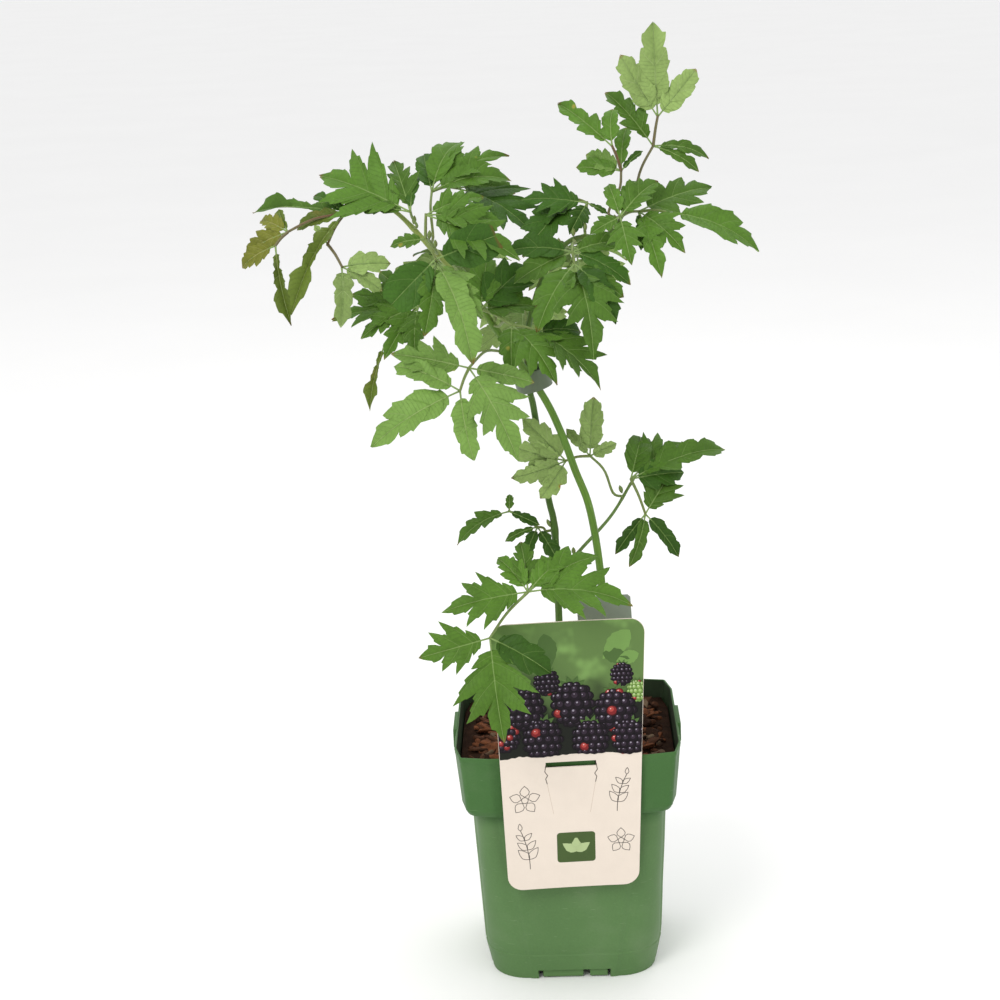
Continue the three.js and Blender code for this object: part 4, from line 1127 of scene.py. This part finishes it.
def pot_profile():
    """Rings from the floor's underside round the foot, up the outside and down the inside.

    Each is the height of the ring, the height its outline is taken at, and how far it lies in.
    """
    rows = [(FLOOR_UNDER, 0, WALL), (NOTCH_HEIGHT, 0, WALL), (0.3, 0, WALL), (0, 0, WALL - 0.25)]
    rows += [(0, 0, 0.45), (0.12, 0.12, 0.12), (0.6, 0.6, 0), (NOTCH_HEIGHT, NOTCH_HEIGHT, 0)]
    rows += [(12, 12, 0), (16.6, 16.6, 0), (17, 17, 0.32), (17.8, 17.8, 0.34), (18.6, 18.6, 0.04)]
    rows += [(z, z, 0) for z in np.linspace(24, 110, 18)]
    rows += [(112, 112, 0), (112.5, 112.5, -0.2), (112.6, 113.2, 1.0), (112.8, 113.2, 0.3)]
    rows += [(113.3, 113.4, 0), (115, 115, 0), (116.5, 116.5, 0), (117.2, 117.2, 0)]
    rows += [(z, z, 0) for z in np.linspace(121, 146, 8)]
    rows += [(148.2, 148.2, 0), (148.5, 148.5, -0.15), (151.2, 151.2, -0.15), (151.7, 151.7, 0.05)]
    rows += [(152, 152, 0.4), (152, 152, 0.85), (151.7, 151.7, WALL), (148, 148, WALL)]
    rows += [(135, 135, WALL), (117.7, 116.5, WALL), (114.4, 113.2, WALL + STEP_EXTRA)]
    rows += [(113.7, 112.5, WALL), (60, 60, WALL), (17, 17, WALL), (FLOOR_UNDER + WALL, 0, WALL)]
    return rows


def pot_piece(finishes):
    """The pot's skin with a notch in the foot of each side, closed, and its lugs and feet.

    The first finish is for the outside and the rim, the second for the inner walls, painted dark as shade.
    """
    rows = pot_profile()
    rings = []
    for z, taken, inward in rows:
        ring = pot_ring(level_at(taken), inward, z)
        if WARP["low"] < z < WARP["high"]:
            out = ring[:, :2] / np.linalg.norm(ring[:, :2], axis=1)[:, None]
            around = np.arctan2(ring[:, 1], ring[:, 0]) * WARP["round"]
            swell = ripple(around, np.full(len(ring), z), WARP["pitch"], WARP["seed"])
            ring[:, :2] += out * (WARP["deep"] * swell)[:, None]
        rings.append(ring)
    count = len(rings[0])
    low, high = 1, 7
    quarter = count // 4
    first = PANEL_PARTS.index(-NOTCH_PART)
    last = PANEL_PARTS.index(NOTCH_PART)
    index = np.arange(len(rings) * count).reshape(len(rings), count)
    quads = grid_quads(len(rings), count, True).reshape(len(rings) - 1, count, 4)
    keep = np.ones((len(rings) - 1, count), bool)
    extra, cheeks = [], []
    for side in range(4):
        a, b = side * quarter + first, side * quarter + last
        keep[low:high, a:b] = False
        under, over = index[low], index[high]
        extra.append(np.stack([under[a:b], under[a + 1:b + 1], over[a + 1:b + 1], over[a:b]], 1))
        for column, way in ((a, -1), (b, 1)):
            ladder = index[low:high + 1, column]
            fan = np.stack([np.full(high - low - 1, ladder[0]), ladder[1:-1], ladder[2:]], 1)
            cheeks.append(fan[:, ::way])
    shape = Shape()
    points = np.vstack(rings + [[[0, 0, rows[0][0]]], [[0, 0, rows[-1][0]]]])
    bottom, top = len(points) - 2, len(points) - 1
    outer = keep.copy()
    outer[POT_OUTSIDE:] = False
    floor = cap(bottom, 0, count, True)
    shape.add(points, [quads[outer], np.vstack(extra), np.vstack(cheeks), floor])
    # The inner walls and the inner floor take the second finish: a dark colour painted on as shade.
    shape.cover([quads[keep & ~outer], cap(top, index[-1, 0], count)], 1)
    half, _, _, bow = level_at(RIM_HEIGHT)
    face = half + bow
    high_z, low_z = RIM_HEIGHT, RIM_HEIGHT - LUG["height"]
    slot_low = (high_z + low_z) / 2 - LUG["slot_height"] / 2
    slot_high = slot_low + LUG["slot_height"]
    wide, slot = LUG["width"] / 2, LUG["slot_width"] / 2
    bars = [
        ((-wide, low_z), (wide, slot_low)), ((-wide, slot_high), (wide, high_z)),
        ((-wide, slot_low - 1), (-slot, slot_high + 1)), ((slot, slot_low - 1), (wide, slot_high + 1)),
    ]
    quarter_turns = [np.array(Matrix.Rotation(side * math.pi / 2, 3, "Z")) for side in range(4)]
    for turn in quarter_turns:
        for (x0, z0), (x1, z1) in bars:
            corners = (x0, -face - LUG["proud"], z0), (x1, -face + LUG["sunk"], z1)
            box, tables = rounded_box(*corners, SOFT["lug"])
            shape.add(box @ turn.T, tables)
    foot_top = FLOOR_UNDER + 0.6
    for x0, x1 in FEET:
        shape.add(*rounded_box((x0, -FOOT_DEPTH / 2, 0), (x1, FOOT_DEPTH / 2, foot_top), SOFT["foot"]))
    for turn in quarter_turns:
        for x0, x1 in BLOCKS:
            corners = (x0, -BLOCK["far"], BLOCK["low"]), (x1, -BLOCK["near"], foot_top)
            box, tables = rounded_box(*corners, SOFT["block"])
            shape.add(box @ turn.T, tables)
    shape.piece("pot_body", ["pot"], "pot_plastic", finishes, sharp=38)


# The second finish paints the pot's inner walls a dark green-black as painted shade.
pot_piece([pot_finish(), rough_finish("pot_inner_painted_shade", (0.022, 0.04, 0.016), 60.0, 0.3, 0.6, 0.05)])


# Soil

# Depth, pitch and seed of the swells of the soil's top
SOIL_SWELLS = ((0.8, 24, 7), (0.6, 6, 9))
# Half sizes of the chips in millimetres, and the spread of the rest
CHIP = {
    "long": (3.5, 11.0), "small": (1.2, 4.0), "long_share": 0.55, "slim": (0.25, 0.8), "widest": 4.6,
    "thick": (0.5, 1.5), "rim": (0.72, 1.12), "reach": 61.5, "over": (-0.2, 1.7), "pitch": 0.24, "roll": 0.45,
}
# Height of each layer of a chip, in half thicknesses, and how far its outline is drawn in
CHIP_LAYERS = ((-1, 0.82), (-0.3, 1.0), (0.55, 0.97), (1, 0.78))
# Name, colour, share of the chips, roughness
CHIP_TONES = (
    ("brown", (0.064, 0.027, 0.015), 0.38, 0.82),
    ("dark", (0.028, 0.013, 0.008), 0.24, 0.85),
    ("red", (0.14, 0.051, 0.024), 0.3, 0.8),
    ("grey", (0.135, 0.09, 0.058), 0.08, 0.85),
)


def soil_pieces():
    """The bark filling: an uneven heaped skin down to the pot's floor, and chips lying on it."""
    skin = Shape()
    gap = WALL + SOIL["gap"]
    rows = [
        (FLOOR_UNDER + gap, 0, gap), (17, 17, gap), (112, 112, gap), (114.8, 113.2, gap + STEP_EXTRA),
        (118.2, 116.5, gap + 0.4), (130, 130, gap + 0.6),
    ]
    rings = [pot_ring(level_at(taken), inward, z) for z, taken, inward in rows]
    scales = np.concatenate([[1], np.linspace(0.985, 0.04, 46)])
    for scale in scales:
        ring = pot_ring(level_at(143), gap + 0.8, 0, scale)
        heap = SOIL["edge"] + SOIL["heap"] * (1 - scale ** 3)
        ring[:, 2] = heap
        for deep, pitch, seed in SOIL_SWELLS:
            ring[:, 2] += deep * ripple(ring[:, 0], ring[:, 1], pitch, seed)
        rings.append(ring)
    count = len(rings[0])
    points = np.vstack(rings + [[[0, 0, rows[0][0]]], [[0, 0, rings[-1][:, 2].mean()]]])
    foot = cap(len(points) - 2, 0, count, True)
    top = cap(len(points) - 1, (len(rings) - 1) * count, count)
    skin.add(points, [grid_quads(len(rings), count, True), foot, top])
    dark = rough_finish("soil_dark", (0.026, 0.012, 0.007), 160.0, 0.5, 0.9, 0.5, 0.06)
    skin.piece("soil_heap", ["soil"], "bark_mulch", [dark], sharp=60)

    chips = Shape()
    rng = np.random.default_rng(77)
    for _ in range(SOIL["chips"]):
        kind = "long" if rng.random() < CHIP["long_share"] else "small"
        long_half = rng.uniform(*CHIP[kind])
        wide_half = min(long_half * rng.uniform(*CHIP["slim"]), CHIP["widest"])
        thick_half = rng.uniform(*CHIP["thick"])
        reach = CHIP["reach"] - long_half * 0.95
        x, y = rng.uniform(-reach, reach, 2)
        n = int(rng.integers(8, 12))
        angle = np.arange(n) / n * 2 * math.pi + rng.uniform(-0.12, 0.12, n)
        rim = rng.uniform(*CHIP["rim"], n)
        outline = np.stack([long_half * rim * np.cos(angle), wide_half * rim * np.sin(angle)], 1)
        layers = []
        for part, shrink in CHIP_LAYERS:
            height = np.full(n, part * thick_half) + rng.uniform(-0.22, 0.22, n)
            layers.append(np.column_stack([outline * shrink, height]))
        body = np.vstack(layers + [[[0, 0, -thick_half]], [[0, 0, thick_half * rng.uniform(0.7, 1.2)]]])
        body[:, 2] += 0.02 * rng.uniform(-1, 1) * body[:, 0] ** 2
        yaw = rng.uniform(0, 2 * math.pi)
        pitch, roll = rng.normal(0, CHIP["pitch"]), rng.normal(0, CHIP["roll"])
        turn = Matrix.Rotation(yaw, 3, "Z") @ Matrix.Rotation(pitch, 3, "Y") @ Matrix.Rotation(roll, 3, "X")
        body = body @ np.array(turn).T
        edge = max(abs(x), abs(y)) / 62
        lie = SOIL["edge"] + SOIL["heap"] * (1 - edge ** 3) + rng.uniform(*CHIP["over"])
        body = body + np.array([x, y, lie])
        body[:, 2] = np.minimum(body[:, 2], SOIL_TOP + 1.2)
        tone = int(rng.choice(4, p=[share for _, _, share, _ in CHIP_TONES]))
        chips.add(body, [grid_quads(4, n, True), cap(4 * n, 0, n, True), cap(4 * n + 1, 3 * n, n)], tone)
    tones = [
        rough_finish("bark_" + name, colour, 260.0, 0.4, roughness, 0.35, 0.06)
        for name, colour, _, roughness in CHIP_TONES
    ]
    chips.piece("soil_chips", ["soil"], "bark_mulch", tones, sharp=40)


soil_pieces()


# Card, tag and tie

def card_place(x, up, out):
    """Points of the card: curled forward at its sides, leaned forward, turned and moved.

    The curl is the square of the way from the middle, less a sine up the card.
    """
    x, up, out = (np.asarray(value, float) for value in (x, up, out))
    x, up, out = np.broadcast_arrays(x, up, out)
    out = out + CARD_CURL["sides"] * (x / CARD_CURL["at"]) ** 2
    out = out - CARD_CURL["bow"] * np.sin(up / CARD["height"] * math.pi)
    lean, yaw = CARD_SET["lean"], CARD_SET["yaw"]
    back = -up * math.sin(lean) - out * math.cos(lean)
    rise = up * math.cos(lean) - out * math.sin(lean)
    return np.stack([
        x * math.cos(yaw) - back * math.sin(yaw) + CARD_SET["x"],
        x * math.sin(yaw) + back * math.cos(yaw) + CARD_SET["y"],
        rise + CARD_SET["z"],
    ], -1)


def card_half(up, inset=0.0):
    """Half the card's width at a height: straight sides, and quarter circles at the corners."""
    part = up / CARD["height"]
    half = between((CARD["foot_half"], CARD["top_half"]), part)
    near = np.minimum(up, CARD["height"] - up)
    short = np.clip(CARD["corner"] - near, 0, CARD["corner"])
    return half - CARD["corner"] + np.sqrt(CARD["corner"] ** 2 - short ** 2) - inset


def card_rows(start, end, marks):
    """Heights from one to the other, close together near the corners and at the given marks."""
    corner = CARD["corner"] * (1 - np.cos(np.linspace(0, math.pi / 2, 9)))
    middle = np.linspace(CARD["corner"], CARD["height"] - CARD["corner"], 40)
    rows = np.concatenate([corner, CARD["height"] - corner, middle, marks])
    return np.unique(np.round(rows[(rows >= start) & (rows <= end)], 3))


def print_foot(x):
    """The ragged height where the picture on the card ends: two swells of 1 and 0.6 mm."""
    x = np.asarray(x, float)
    return PICTURE_FOOT + ripple(x, x * 0, 22, 31) + 0.6 * ripple(x, x * 0, 5, 33)


def decal(shape, outline, level, finish, cropped=False):
    """A thin closed patch on the card's face from an outline that all can be seen from its middle.

    A cropped one is cut off at the card's edges and at the foot of the picture.
    """
    outline = np.array(outline, float)
    if cropped:
        outline[:, 1] = np.clip(outline[:, 1], print_foot(outline[:, 0]) + 0.05, CARD["height"] - 0.3)
        edge = card_half(outline[:, 1], 0.3)
        outline[:, 0] = np.clip(outline[:, 0], -edge, edge)
        if np.ptp(outline, 0).min() < 0.15:
            return
    count = len(outline)
    thick = CARD["thick"]
    layers = []
    for out in (thick - 0.1, thick + level):
        layers.append(card_place(outline[:, 0], outline[:, 1], out))
        layers.append(card_place(*outline.mean(0), out).reshape(1, 3))
    k = np.arange(count)
    after = (k + 1) % count
    lower, upper = 0, count + 1
    faces = [
        cap(count, lower, count, True),
        cap(upper + count, upper, count),
        np.stack([lower + k, lower + after, upper + after], 1),
        np.stack([lower + k, upper + after, upper + k], 1),
    ]
    shape.add(np.vstack(layers), [np.vstack(faces)], finish)


def leaf_outline(x, up, reach, wide, degrees, teeth=5):
    """A small toothed leaf on the card: a lens whose width swells and falls as a sine."""
    t = np.linspace(0, 1, teeth * 4 + 1)
    width = wide * np.sin(math.pi * t ** 0.8) * (1 + 0.16 * (t * teeth % 1))
    side = np.concatenate([np.stack([t * reach, width], 1), np.stack([t * reach, -width], 1)[-2:0:-1]])
    angle = math.radians(degrees)
    turn = np.array([[math.cos(angle), -math.sin(angle)], [math.sin(angle), math.cos(angle)]])
    return (side @ turn.T + np.array([x, up]))[::-1]


def stroke(shape, line, width, finish, level=0.03):
    """A drawn line on the card: a thin patch for each step, with round joints."""
    line = np.asarray(line, float)
    for start, end in zip(line[:-1], line[1:]):
        way = unit(end - start)
        across = np.array([-way[1], way[0]]) * width / 2
        decal(shape, [start + across, start - across, end - across, end + across], level, finish)
    for point in line:
        decal(shape, point + width / 2 * circle(8), level + 0.002, finish)


def berry(shape, x, up, size, tones, level, rng):
    """A berry: round drops in rows round a ball, each shaded by rings of its tones.

    A drop at a latitude and a longitude lies at (sin longitude cos latitude, sin latitude) times
    the size, and is smaller and lower toward the ball's edge.
    """
    ring = circle(12)
    drops = []
    for row, latitude in enumerate(np.radians((-70, -47, -24, 0, 24, 47, 70))):
        step = 27 / math.cos(latitude) ** 0.7
        for longitude in np.radians(np.arange(-80, 81, step) + row % 2 * step / 2 + rng.uniform(-3, 3)):
            near = math.cos(latitude) * math.cos(longitude)
            drops.append((near, math.sin(longitude) * math.cos(latitude), math.sin(latitude)))
    steps = ((0, 1.0, 0.0), (1, 0.84, 0.05), (2, 0.5, 0.24), (3, 0.17, 0.4))
    for near, aside, above in sorted(drops):
        drop = size * (0.17 + 0.1 * max(near, 0)) * rng.uniform(0.92, 1.08)
        place = np.array([x + aside * size * 0.86, up + above * size * 0.95])
        kind = tones[1] if rng.random() < 0.06 else tones[0]
        for order, (tone, part, shift) in enumerate(steps):
            middle = place + drop * shift * rng.uniform(0.8, 1.2, 2) * np.array([-0.6, 1.0])
            part = part * rng.uniform(0.5, 1.3) if order == 3 else part
            patch = middle + ring * drop * part
            decal(shape, patch, level + 0.12 * near + 0.01 * order, kind + tone, True)


def sprig(shape, x, up, reach, lean, finish):
    """A drawn sprig: a curved stem with pairs of leaf outlines and one at its tip."""
    t = np.linspace(0, 1, 9)
    stem = np.stack([x + lean * reach * t ** 2, up + reach * t], 1)
    stroke(shape, stem, 0.45, finish)
    for place, turn in ((2, 50), (2, 130), (4, 45), (4, 135), (6, 40), (6, 140), (8, 90)):
        size = reach * (0.42 - 0.03 * place)
        outline = leaf_outline(*stem[place], size, size * 0.24, turn - 25 * lean, 2)
        stroke(shape, np.vstack([outline, outline[:1]]), 0.4, finish)


def flower(shape, x, up, size, finish):
    """A drawn flower: five petal outlines round a ring."""
    for turn in range(90, 450, 72):
        x0 = x + math.cos(math.radians(turn)) * size * 0.25
        up0 = up + math.sin(math.radians(turn)) * size * 0.25
        outline = leaf_outline(x0, up0, size * 0.8, size * 0.3, turn, 1)
        stroke(shape, np.vstack([outline, outline[:1]]), 0.4, finish)
    angle = np.linspace(0, 2 * math.pi, 15)
    ring = np.stack([x + size * 0.22 * np.cos(angle), up + size * 0.22 * np.sin(angle)], 1)
    stroke(shape, ring, 0.4, finish)


def ground_finish():
    """The print's ground: leaf green at the top, clouded, and nearly black behind the berries."""
    made, wires, surface = material("print_ground")
    where = wires.objects()
    height = wires.split(where)[2]
    cloud = wires.maths("MULTIPLY_ADD", wires.noise(where, 45.0, 2.0), 0.05, height)
    tone = wires.blend(wires.rise(cloud, 0.205, 0.238), (0.01, 0.012, 0.008, 1), (0.11, 0.19, 0.055, 1))
    light = wires.rise(wires.noise(where, 60.0, 2.0), 0.5, 0.75)
    light = wires.maths("MULTIPLY", light, wires.rise(height, 0.17, 0.22))
    tone = wires.lay(tone, light, 0.7, (0.24, 0.42, 0.12))
    rough = (wires.noise(where, 200.0), 0.1, 0.33)
    lead(wires, surface, tone, rough, 0.15, wires.noise(where, 500.0), 0.01)
    return made


def card_sheet():
    """The card: rows as wide as the card at their height, without the cells of its slit."""
    rows = card_rows(0, CARD["height"], [SLIT["low"], SLIT["high"]])
    half = card_half(rows)
    near = SLIT["half"] / card_half(np.array(82.0))
    ends = (-1, -near, near, 1)
    parts = np.unique(np.concatenate([np.linspace(*pair, 11) for pair in zip(ends, ends[1:])]))
    x = half[:, None] * parts[None]
    up = np.broadcast_to(rows[:, None], x.shape)
    middle_up = (up[1:, :-1] + up[:-1, :-1]) / 2
    middle_x = (parts[1:] + parts[:-1]) / 2
    in_slit = (middle_up > SLIT["low"]) & (middle_up < SLIT["high"]) & (np.abs(middle_x) < near)[None]
    card = Shape()
    points, faces = slab(card_place(x, up, CARD["thick"]), card_place(x, up, 0), ~in_slit)
    card.add(points, faces)
    cream = rough_finish("card_cream", (0.735, 0.648, 0.562), 120.0, 0.02, 0.45, 0.02, 0.25)
    card.piece("card_sheet", ["card"], "coated_card", [cream], sharp=40)


# Inks of the print in the order of its finishes, which start with the ground
INKS = (
    ("leaf_light", (0.16, 0.29, 0.075)), ("leaf_dark", (0.07, 0.135, 0.035)),
    ("plum_edge", (0.003, 0.002, 0.003)), ("plum", (0.009, 0.005, 0.009)),
    ("plum_light", (0.032, 0.02, 0.034)), ("plum_fleck", (0.3, 0.27, 0.33)),
    ("red_edge", (0.06, 0.005, 0.006)), ("red", (0.2, 0.016, 0.018)),
    ("red_light", (0.42, 0.06, 0.05)), ("red_fleck", (0.75, 0.5, 0.5)),
    ("unripe_edge", (0.05, 0.1, 0.02)), ("unripe", (0.16, 0.28, 0.06)),
    ("unripe_light", (0.32, 0.46, 0.16)), ("unripe_fleck", (0.65, 0.75, 0.5)),
    ("drawn_line", (0.1, 0.09, 0.08)), ("panel_green", (0.06, 0.1, 0.03)),
    ("panel_leaf", (0.4, 0.5, 0.25)), ("cut_line", (0.1, 0.085, 0.07)), ("fold_line", (0.55, 0.45, 0.37)),
)
INK = {name: place + 1 for place, (name, _) in enumerate(INKS)}
# Place of the foot, reach, half width and direction in degrees
PRINT_LEAVES = (
    (-36, 160, 24, 6, -38), (-14, 167, 22, 5.5, -80), (36, 167, 24, 6, 228), (20, 153, 18, 4.5, -15),
    (41, 152, 14, 4, 200),
)
# Place, size, and the edge inks of most of its drops and of a few
RIPE, UNRIPE = (INK["plum_edge"], INK["red_edge"]), (INK["unripe_edge"], INK["red_edge"])
PRINT_BERRIES = (
    (31, 139, 7, RIPE), (-13, 136, 8, RIPE), (40, 128, 6.5, UNRIPE), (-38, 133, 6.5, UNRIPE),
    (-38, 102, 9, RIPE), (-26, 119, 12.5, RIPE), (2, 121, 13.5, RIPE), (27, 116, 13, RIPE),
    (-16, 99, 12.5, RIPE), (12, 98, 11.5, RIPE), (35, 98, 11, RIPE),
)


def card_print():
    """The print: a green ground with leaves and berries, and drawn sprigs and flowers below it.

    The ground's rows start at the ragged foot and are as wide as the card at their height.
    """
    shape = Shape()
    rows = card_rows(100, CARD["height"] - 0.05, [])
    columns = np.linspace(-1, 1, 121)
    ragged = print_foot(columns * 42)
    low_rows = ragged[None] + (99 - ragged)[None] * np.linspace(0, 1, 5)[:, None]
    up = np.vstack([low_rows, np.broadcast_to(rows[:, None], (len(rows), 121))])
    x = card_half(np.clip(up, 0, CARD["height"]), 0.25) * columns[None]
    keep = np.ones((len(up) - 1, 120), bool)
    skins = [card_place(x, up, CARD["thick"] + level) for level in (0.03, -0.1)]
    shape.add(*slab(*skins, keep))
    for place, row in enumerate(PRINT_LEAVES):
        decal(shape, leaf_outline(*row), 0.05 + 0.004 * place, 1 + place % 2, True)
    rng = np.random.default_rng(5)
    for place, (x0, up0, size, tones) in enumerate(PRINT_BERRIES):
        level = 0.1 + 0.03 * place
        for turn in (40, 70, 110, 140):
            calyx = leaf_outline(x0, up0 + size * 0.7, size * 0.7, size * 0.13, turn, 2)
            decal(shape, calyx, level - 0.015, INK["leaf_dark"], True)
        berry(shape, x0, up0, size, tones, level, rng)
    line = INK["drawn_line"]
    flower(shape, -28, 60, 9, line)
    flower(shape, 29, 30, 8, line)
    sprig(shape, 27, 50, 24, 0.25, line)
    sprig(shape, -26, 14, 26, -0.2, line)
    decal(shape, soft_corners(-9.5, 13.5, 17, 37, 2, 6), 0.02, INK["panel_green"])
    for turn in (35, 90, 145):
        decal(shape, leaf_outline(2, 24, 10, 2.6, turn, 3), 0.05, INK["panel_leaf"])
    for side in (-1, 1):
        hook = np.array([(15, 82.2), (15.6, 78), (14, 75.5), (15.2, 73.4), (14.4, 70)]) * (side, 1)
        stroke(shape, hook, 0.5, INK["cut_line"])
        stroke(shape, [(side * 14.4, 70), (side * 11, 50)], 0.25, INK["fold_line"], 0.015)
    finishes = [ground_finish()]
    finishes += [rough_finish("print_" + name, colour, 90.0, 0.05, 0.42, 0.01, 0.15) for name, colour in INKS]
    shape.piece("card_print", ["card"], "coated_card", finishes, sharp=40)


def tag_piece():
    """A plain strip with cut corners in the bark, bowed back by the square of the way from its middle."""
    width, height, corner = TAG["width"], TAG["height"], TAG["corner"]
    rows = np.concatenate([np.linspace(-6, height - corner, 30), [height]])
    half = np.where(rows > height - corner, width / 2 - corner, width / 2)
    x = half[:, None] * np.linspace(-1, 1, 13)[None]
    up = np.broadcast_to(rows[:, None], x.shape)
    roll = TAG_SET["roll"]
    layers = []
    for out in (TAG["thick"], 0):
        bowed = out + TAG["bow"] * (x / (width / 2)) ** 2
        layers.append(np.stack([
            x * math.cos(roll) - up * math.sin(roll) + TAG_SET["x"],
            -bowed + TAG_SET["y"],
            x * math.sin(roll) + up * math.cos(roll) + SOIL_TOP + CLEAR + width / 2 * roll,
        ], -1))
    shape = Shape()
    points, faces = slab(layers[0], layers[1], np.ones((len(rows) - 1, 12), bool))
    shape.add(points, faces)
    finish = rough_finish("tag_plastic", (0.22, 0.265, 0.21), 30.0, 0.08, 0.4, 0.015, 0.3)
    shape.piece("tag_strip", ["tag"], "clear_strip", [finish], sharp=40)


def tie_piece():
    """A band round both canes: its rounded profile carried round an oval and tilted."""
    profile = soft_corners(0, TIE["wall"], 0, TIE["height"], 0.28, 4)
    count, around = len(profile), 96
    angle = np.arange(around) / around * 2 * math.pi
    x = (TIE["in_x"] + profile[None, :, 0]) * np.cos(angle)[:, None]
    y = (TIE["in_y"] + profile[None, :, 0]) * np.sin(angle)[:, None]
    z = np.broadcast_to(profile[None, :, 1], x.shape)
    tilt = TIE_SET["tilt"]
    points = np.stack([
        x * math.cos(tilt) - z * math.sin(tilt) + TIE_SET["x"],
        y + TIE_SET["y"],
        x * math.sin(tilt) + z * math.cos(tilt) + TIE_SET["z"],
    ], -1)
    index = np.arange(around * count).reshape(around, count)
    ahead = np.roll(index, -1, 0)
    faces = np.stack([index, ahead, np.roll(ahead, -1, 1), np.roll(index, -1, 1)], -1).reshape(-1, 4)
    shape = Shape()
    shape.add(points, [faces])
    finish = rough_finish("tie_plastic", (0.085, 0.12, 0.065), 60.0, 0.08, 0.42, 0.02, 0.5)
    shape.piece("tie_band", ["tie"], "clear_strip", [finish], sharp=50)


card_sheet()
card_print()
tag_piece()
tie_piece()


# Floor, light and camera

def backdrop():
    """A pale round floor that reaches far behind the object on all sides."""
    across = np.array([0.4, 1, 2, 5, 12, 40])
    spots = circle(72)
    rings = across[:, None, None] * np.column_stack([spots, np.zeros(len(spots))])
    points = np.vstack([rings.reshape(-1, 3), [[0, 0, 0]]])
    faces = grid_quads(len(across), len(spots), True)[:, ::-1].tolist()
    faces += cap(len(points) - 1, 0, len(spots)).tolist()
    mesh = bpy.data.meshes.new("floor")
    mesh.from_pydata(points.tolist(), [], faces)
    mesh.materials.append(rough_finish("floor_pale", (0.975, 0.975, 0.975), 3.0, 0.01, 0.9, 0.05, 0.05))
    floor = bpy.data.objects.new("floor", mesh)
    bpy.context.scene.collection.objects.link(floor)


def lamp(name, place, aim, size, power, colour):
    """A round lamp of a size in metres and a power in watts, turned to its aim."""
    light = bpy.data.lights.new(name, "AREA")
    light.shape = "DISK"
    light.size = size
    light.energy = power
    light.color = colour
    made = bpy.data.objects.new(name, light)
    place, aim = np.array(place, float), np.array(aim, float)
    back = unit(place - aim)
    right = unit(np.cross([0, 0, 1], back))
    turn = np.column_stack([right, np.cross(back, right), back])
    made.matrix_world = Matrix.Translation(place.tolist()) @ Matrix(turn.tolist()).to_4x4()
    bpy.context.scene.collection.objects.link(made)


backdrop()
LAMP_AIM = (0, 0, 0.3)
lamp("key", (-0.9, -1.6, 1.8), LAMP_AIM, 1.0, 19, (1, 0.98, 0.94))
lamp("fill", (1.4, -1.3, 1.0), LAMP_AIM, 1.2, 2, (0.98, 0.99, 1))
lamp("above", (0.1, 0.9, 2.0), LAMP_AIM, 1.2, 8, (1, 1, 0.98))

world = bpy.data.worlds.new("studio")
world.use_nodes = True
world.node_tree.nodes["Background"].inputs["Color"].default_value = (1, 1, 1, 1)
world.node_tree.nodes["Background"].inputs["Strength"].default_value = 0.9
bpy.context.scene.world = world
bpy.context.scene.view_settings.view_transform = "Standard"

PITCH, YAW, ROLL = math.radians(14.84), math.radians(-1.61), math.radians(-2.25)
EYE = (0.001, -1.320, 0.643)
LENS, SENSOR = 81, 36
ahead = np.array([math.sin(YAW) * math.cos(PITCH), math.cos(YAW) * math.cos(PITCH), -math.sin(PITCH)])
level = np.array([math.cos(YAW), -math.sin(YAW), 0])
above = np.cross(level, ahead)
right = level * math.cos(ROLL) + above * math.sin(ROLL)
upward = above * math.cos(ROLL) - level * math.sin(ROLL)
lens = bpy.data.cameras.new("camera")
lens.lens = LENS
lens.sensor_width = SENSOR
camera = bpy.data.objects.new("camera", lens)
turn = Matrix(np.column_stack([right, upward, -ahead]).tolist()).to_4x4()
camera.matrix_world = Matrix.Translation(EYE) @ turn
bpy.context.scene.collection.objects.link(camera)
bpy.context.scene.camera = camera
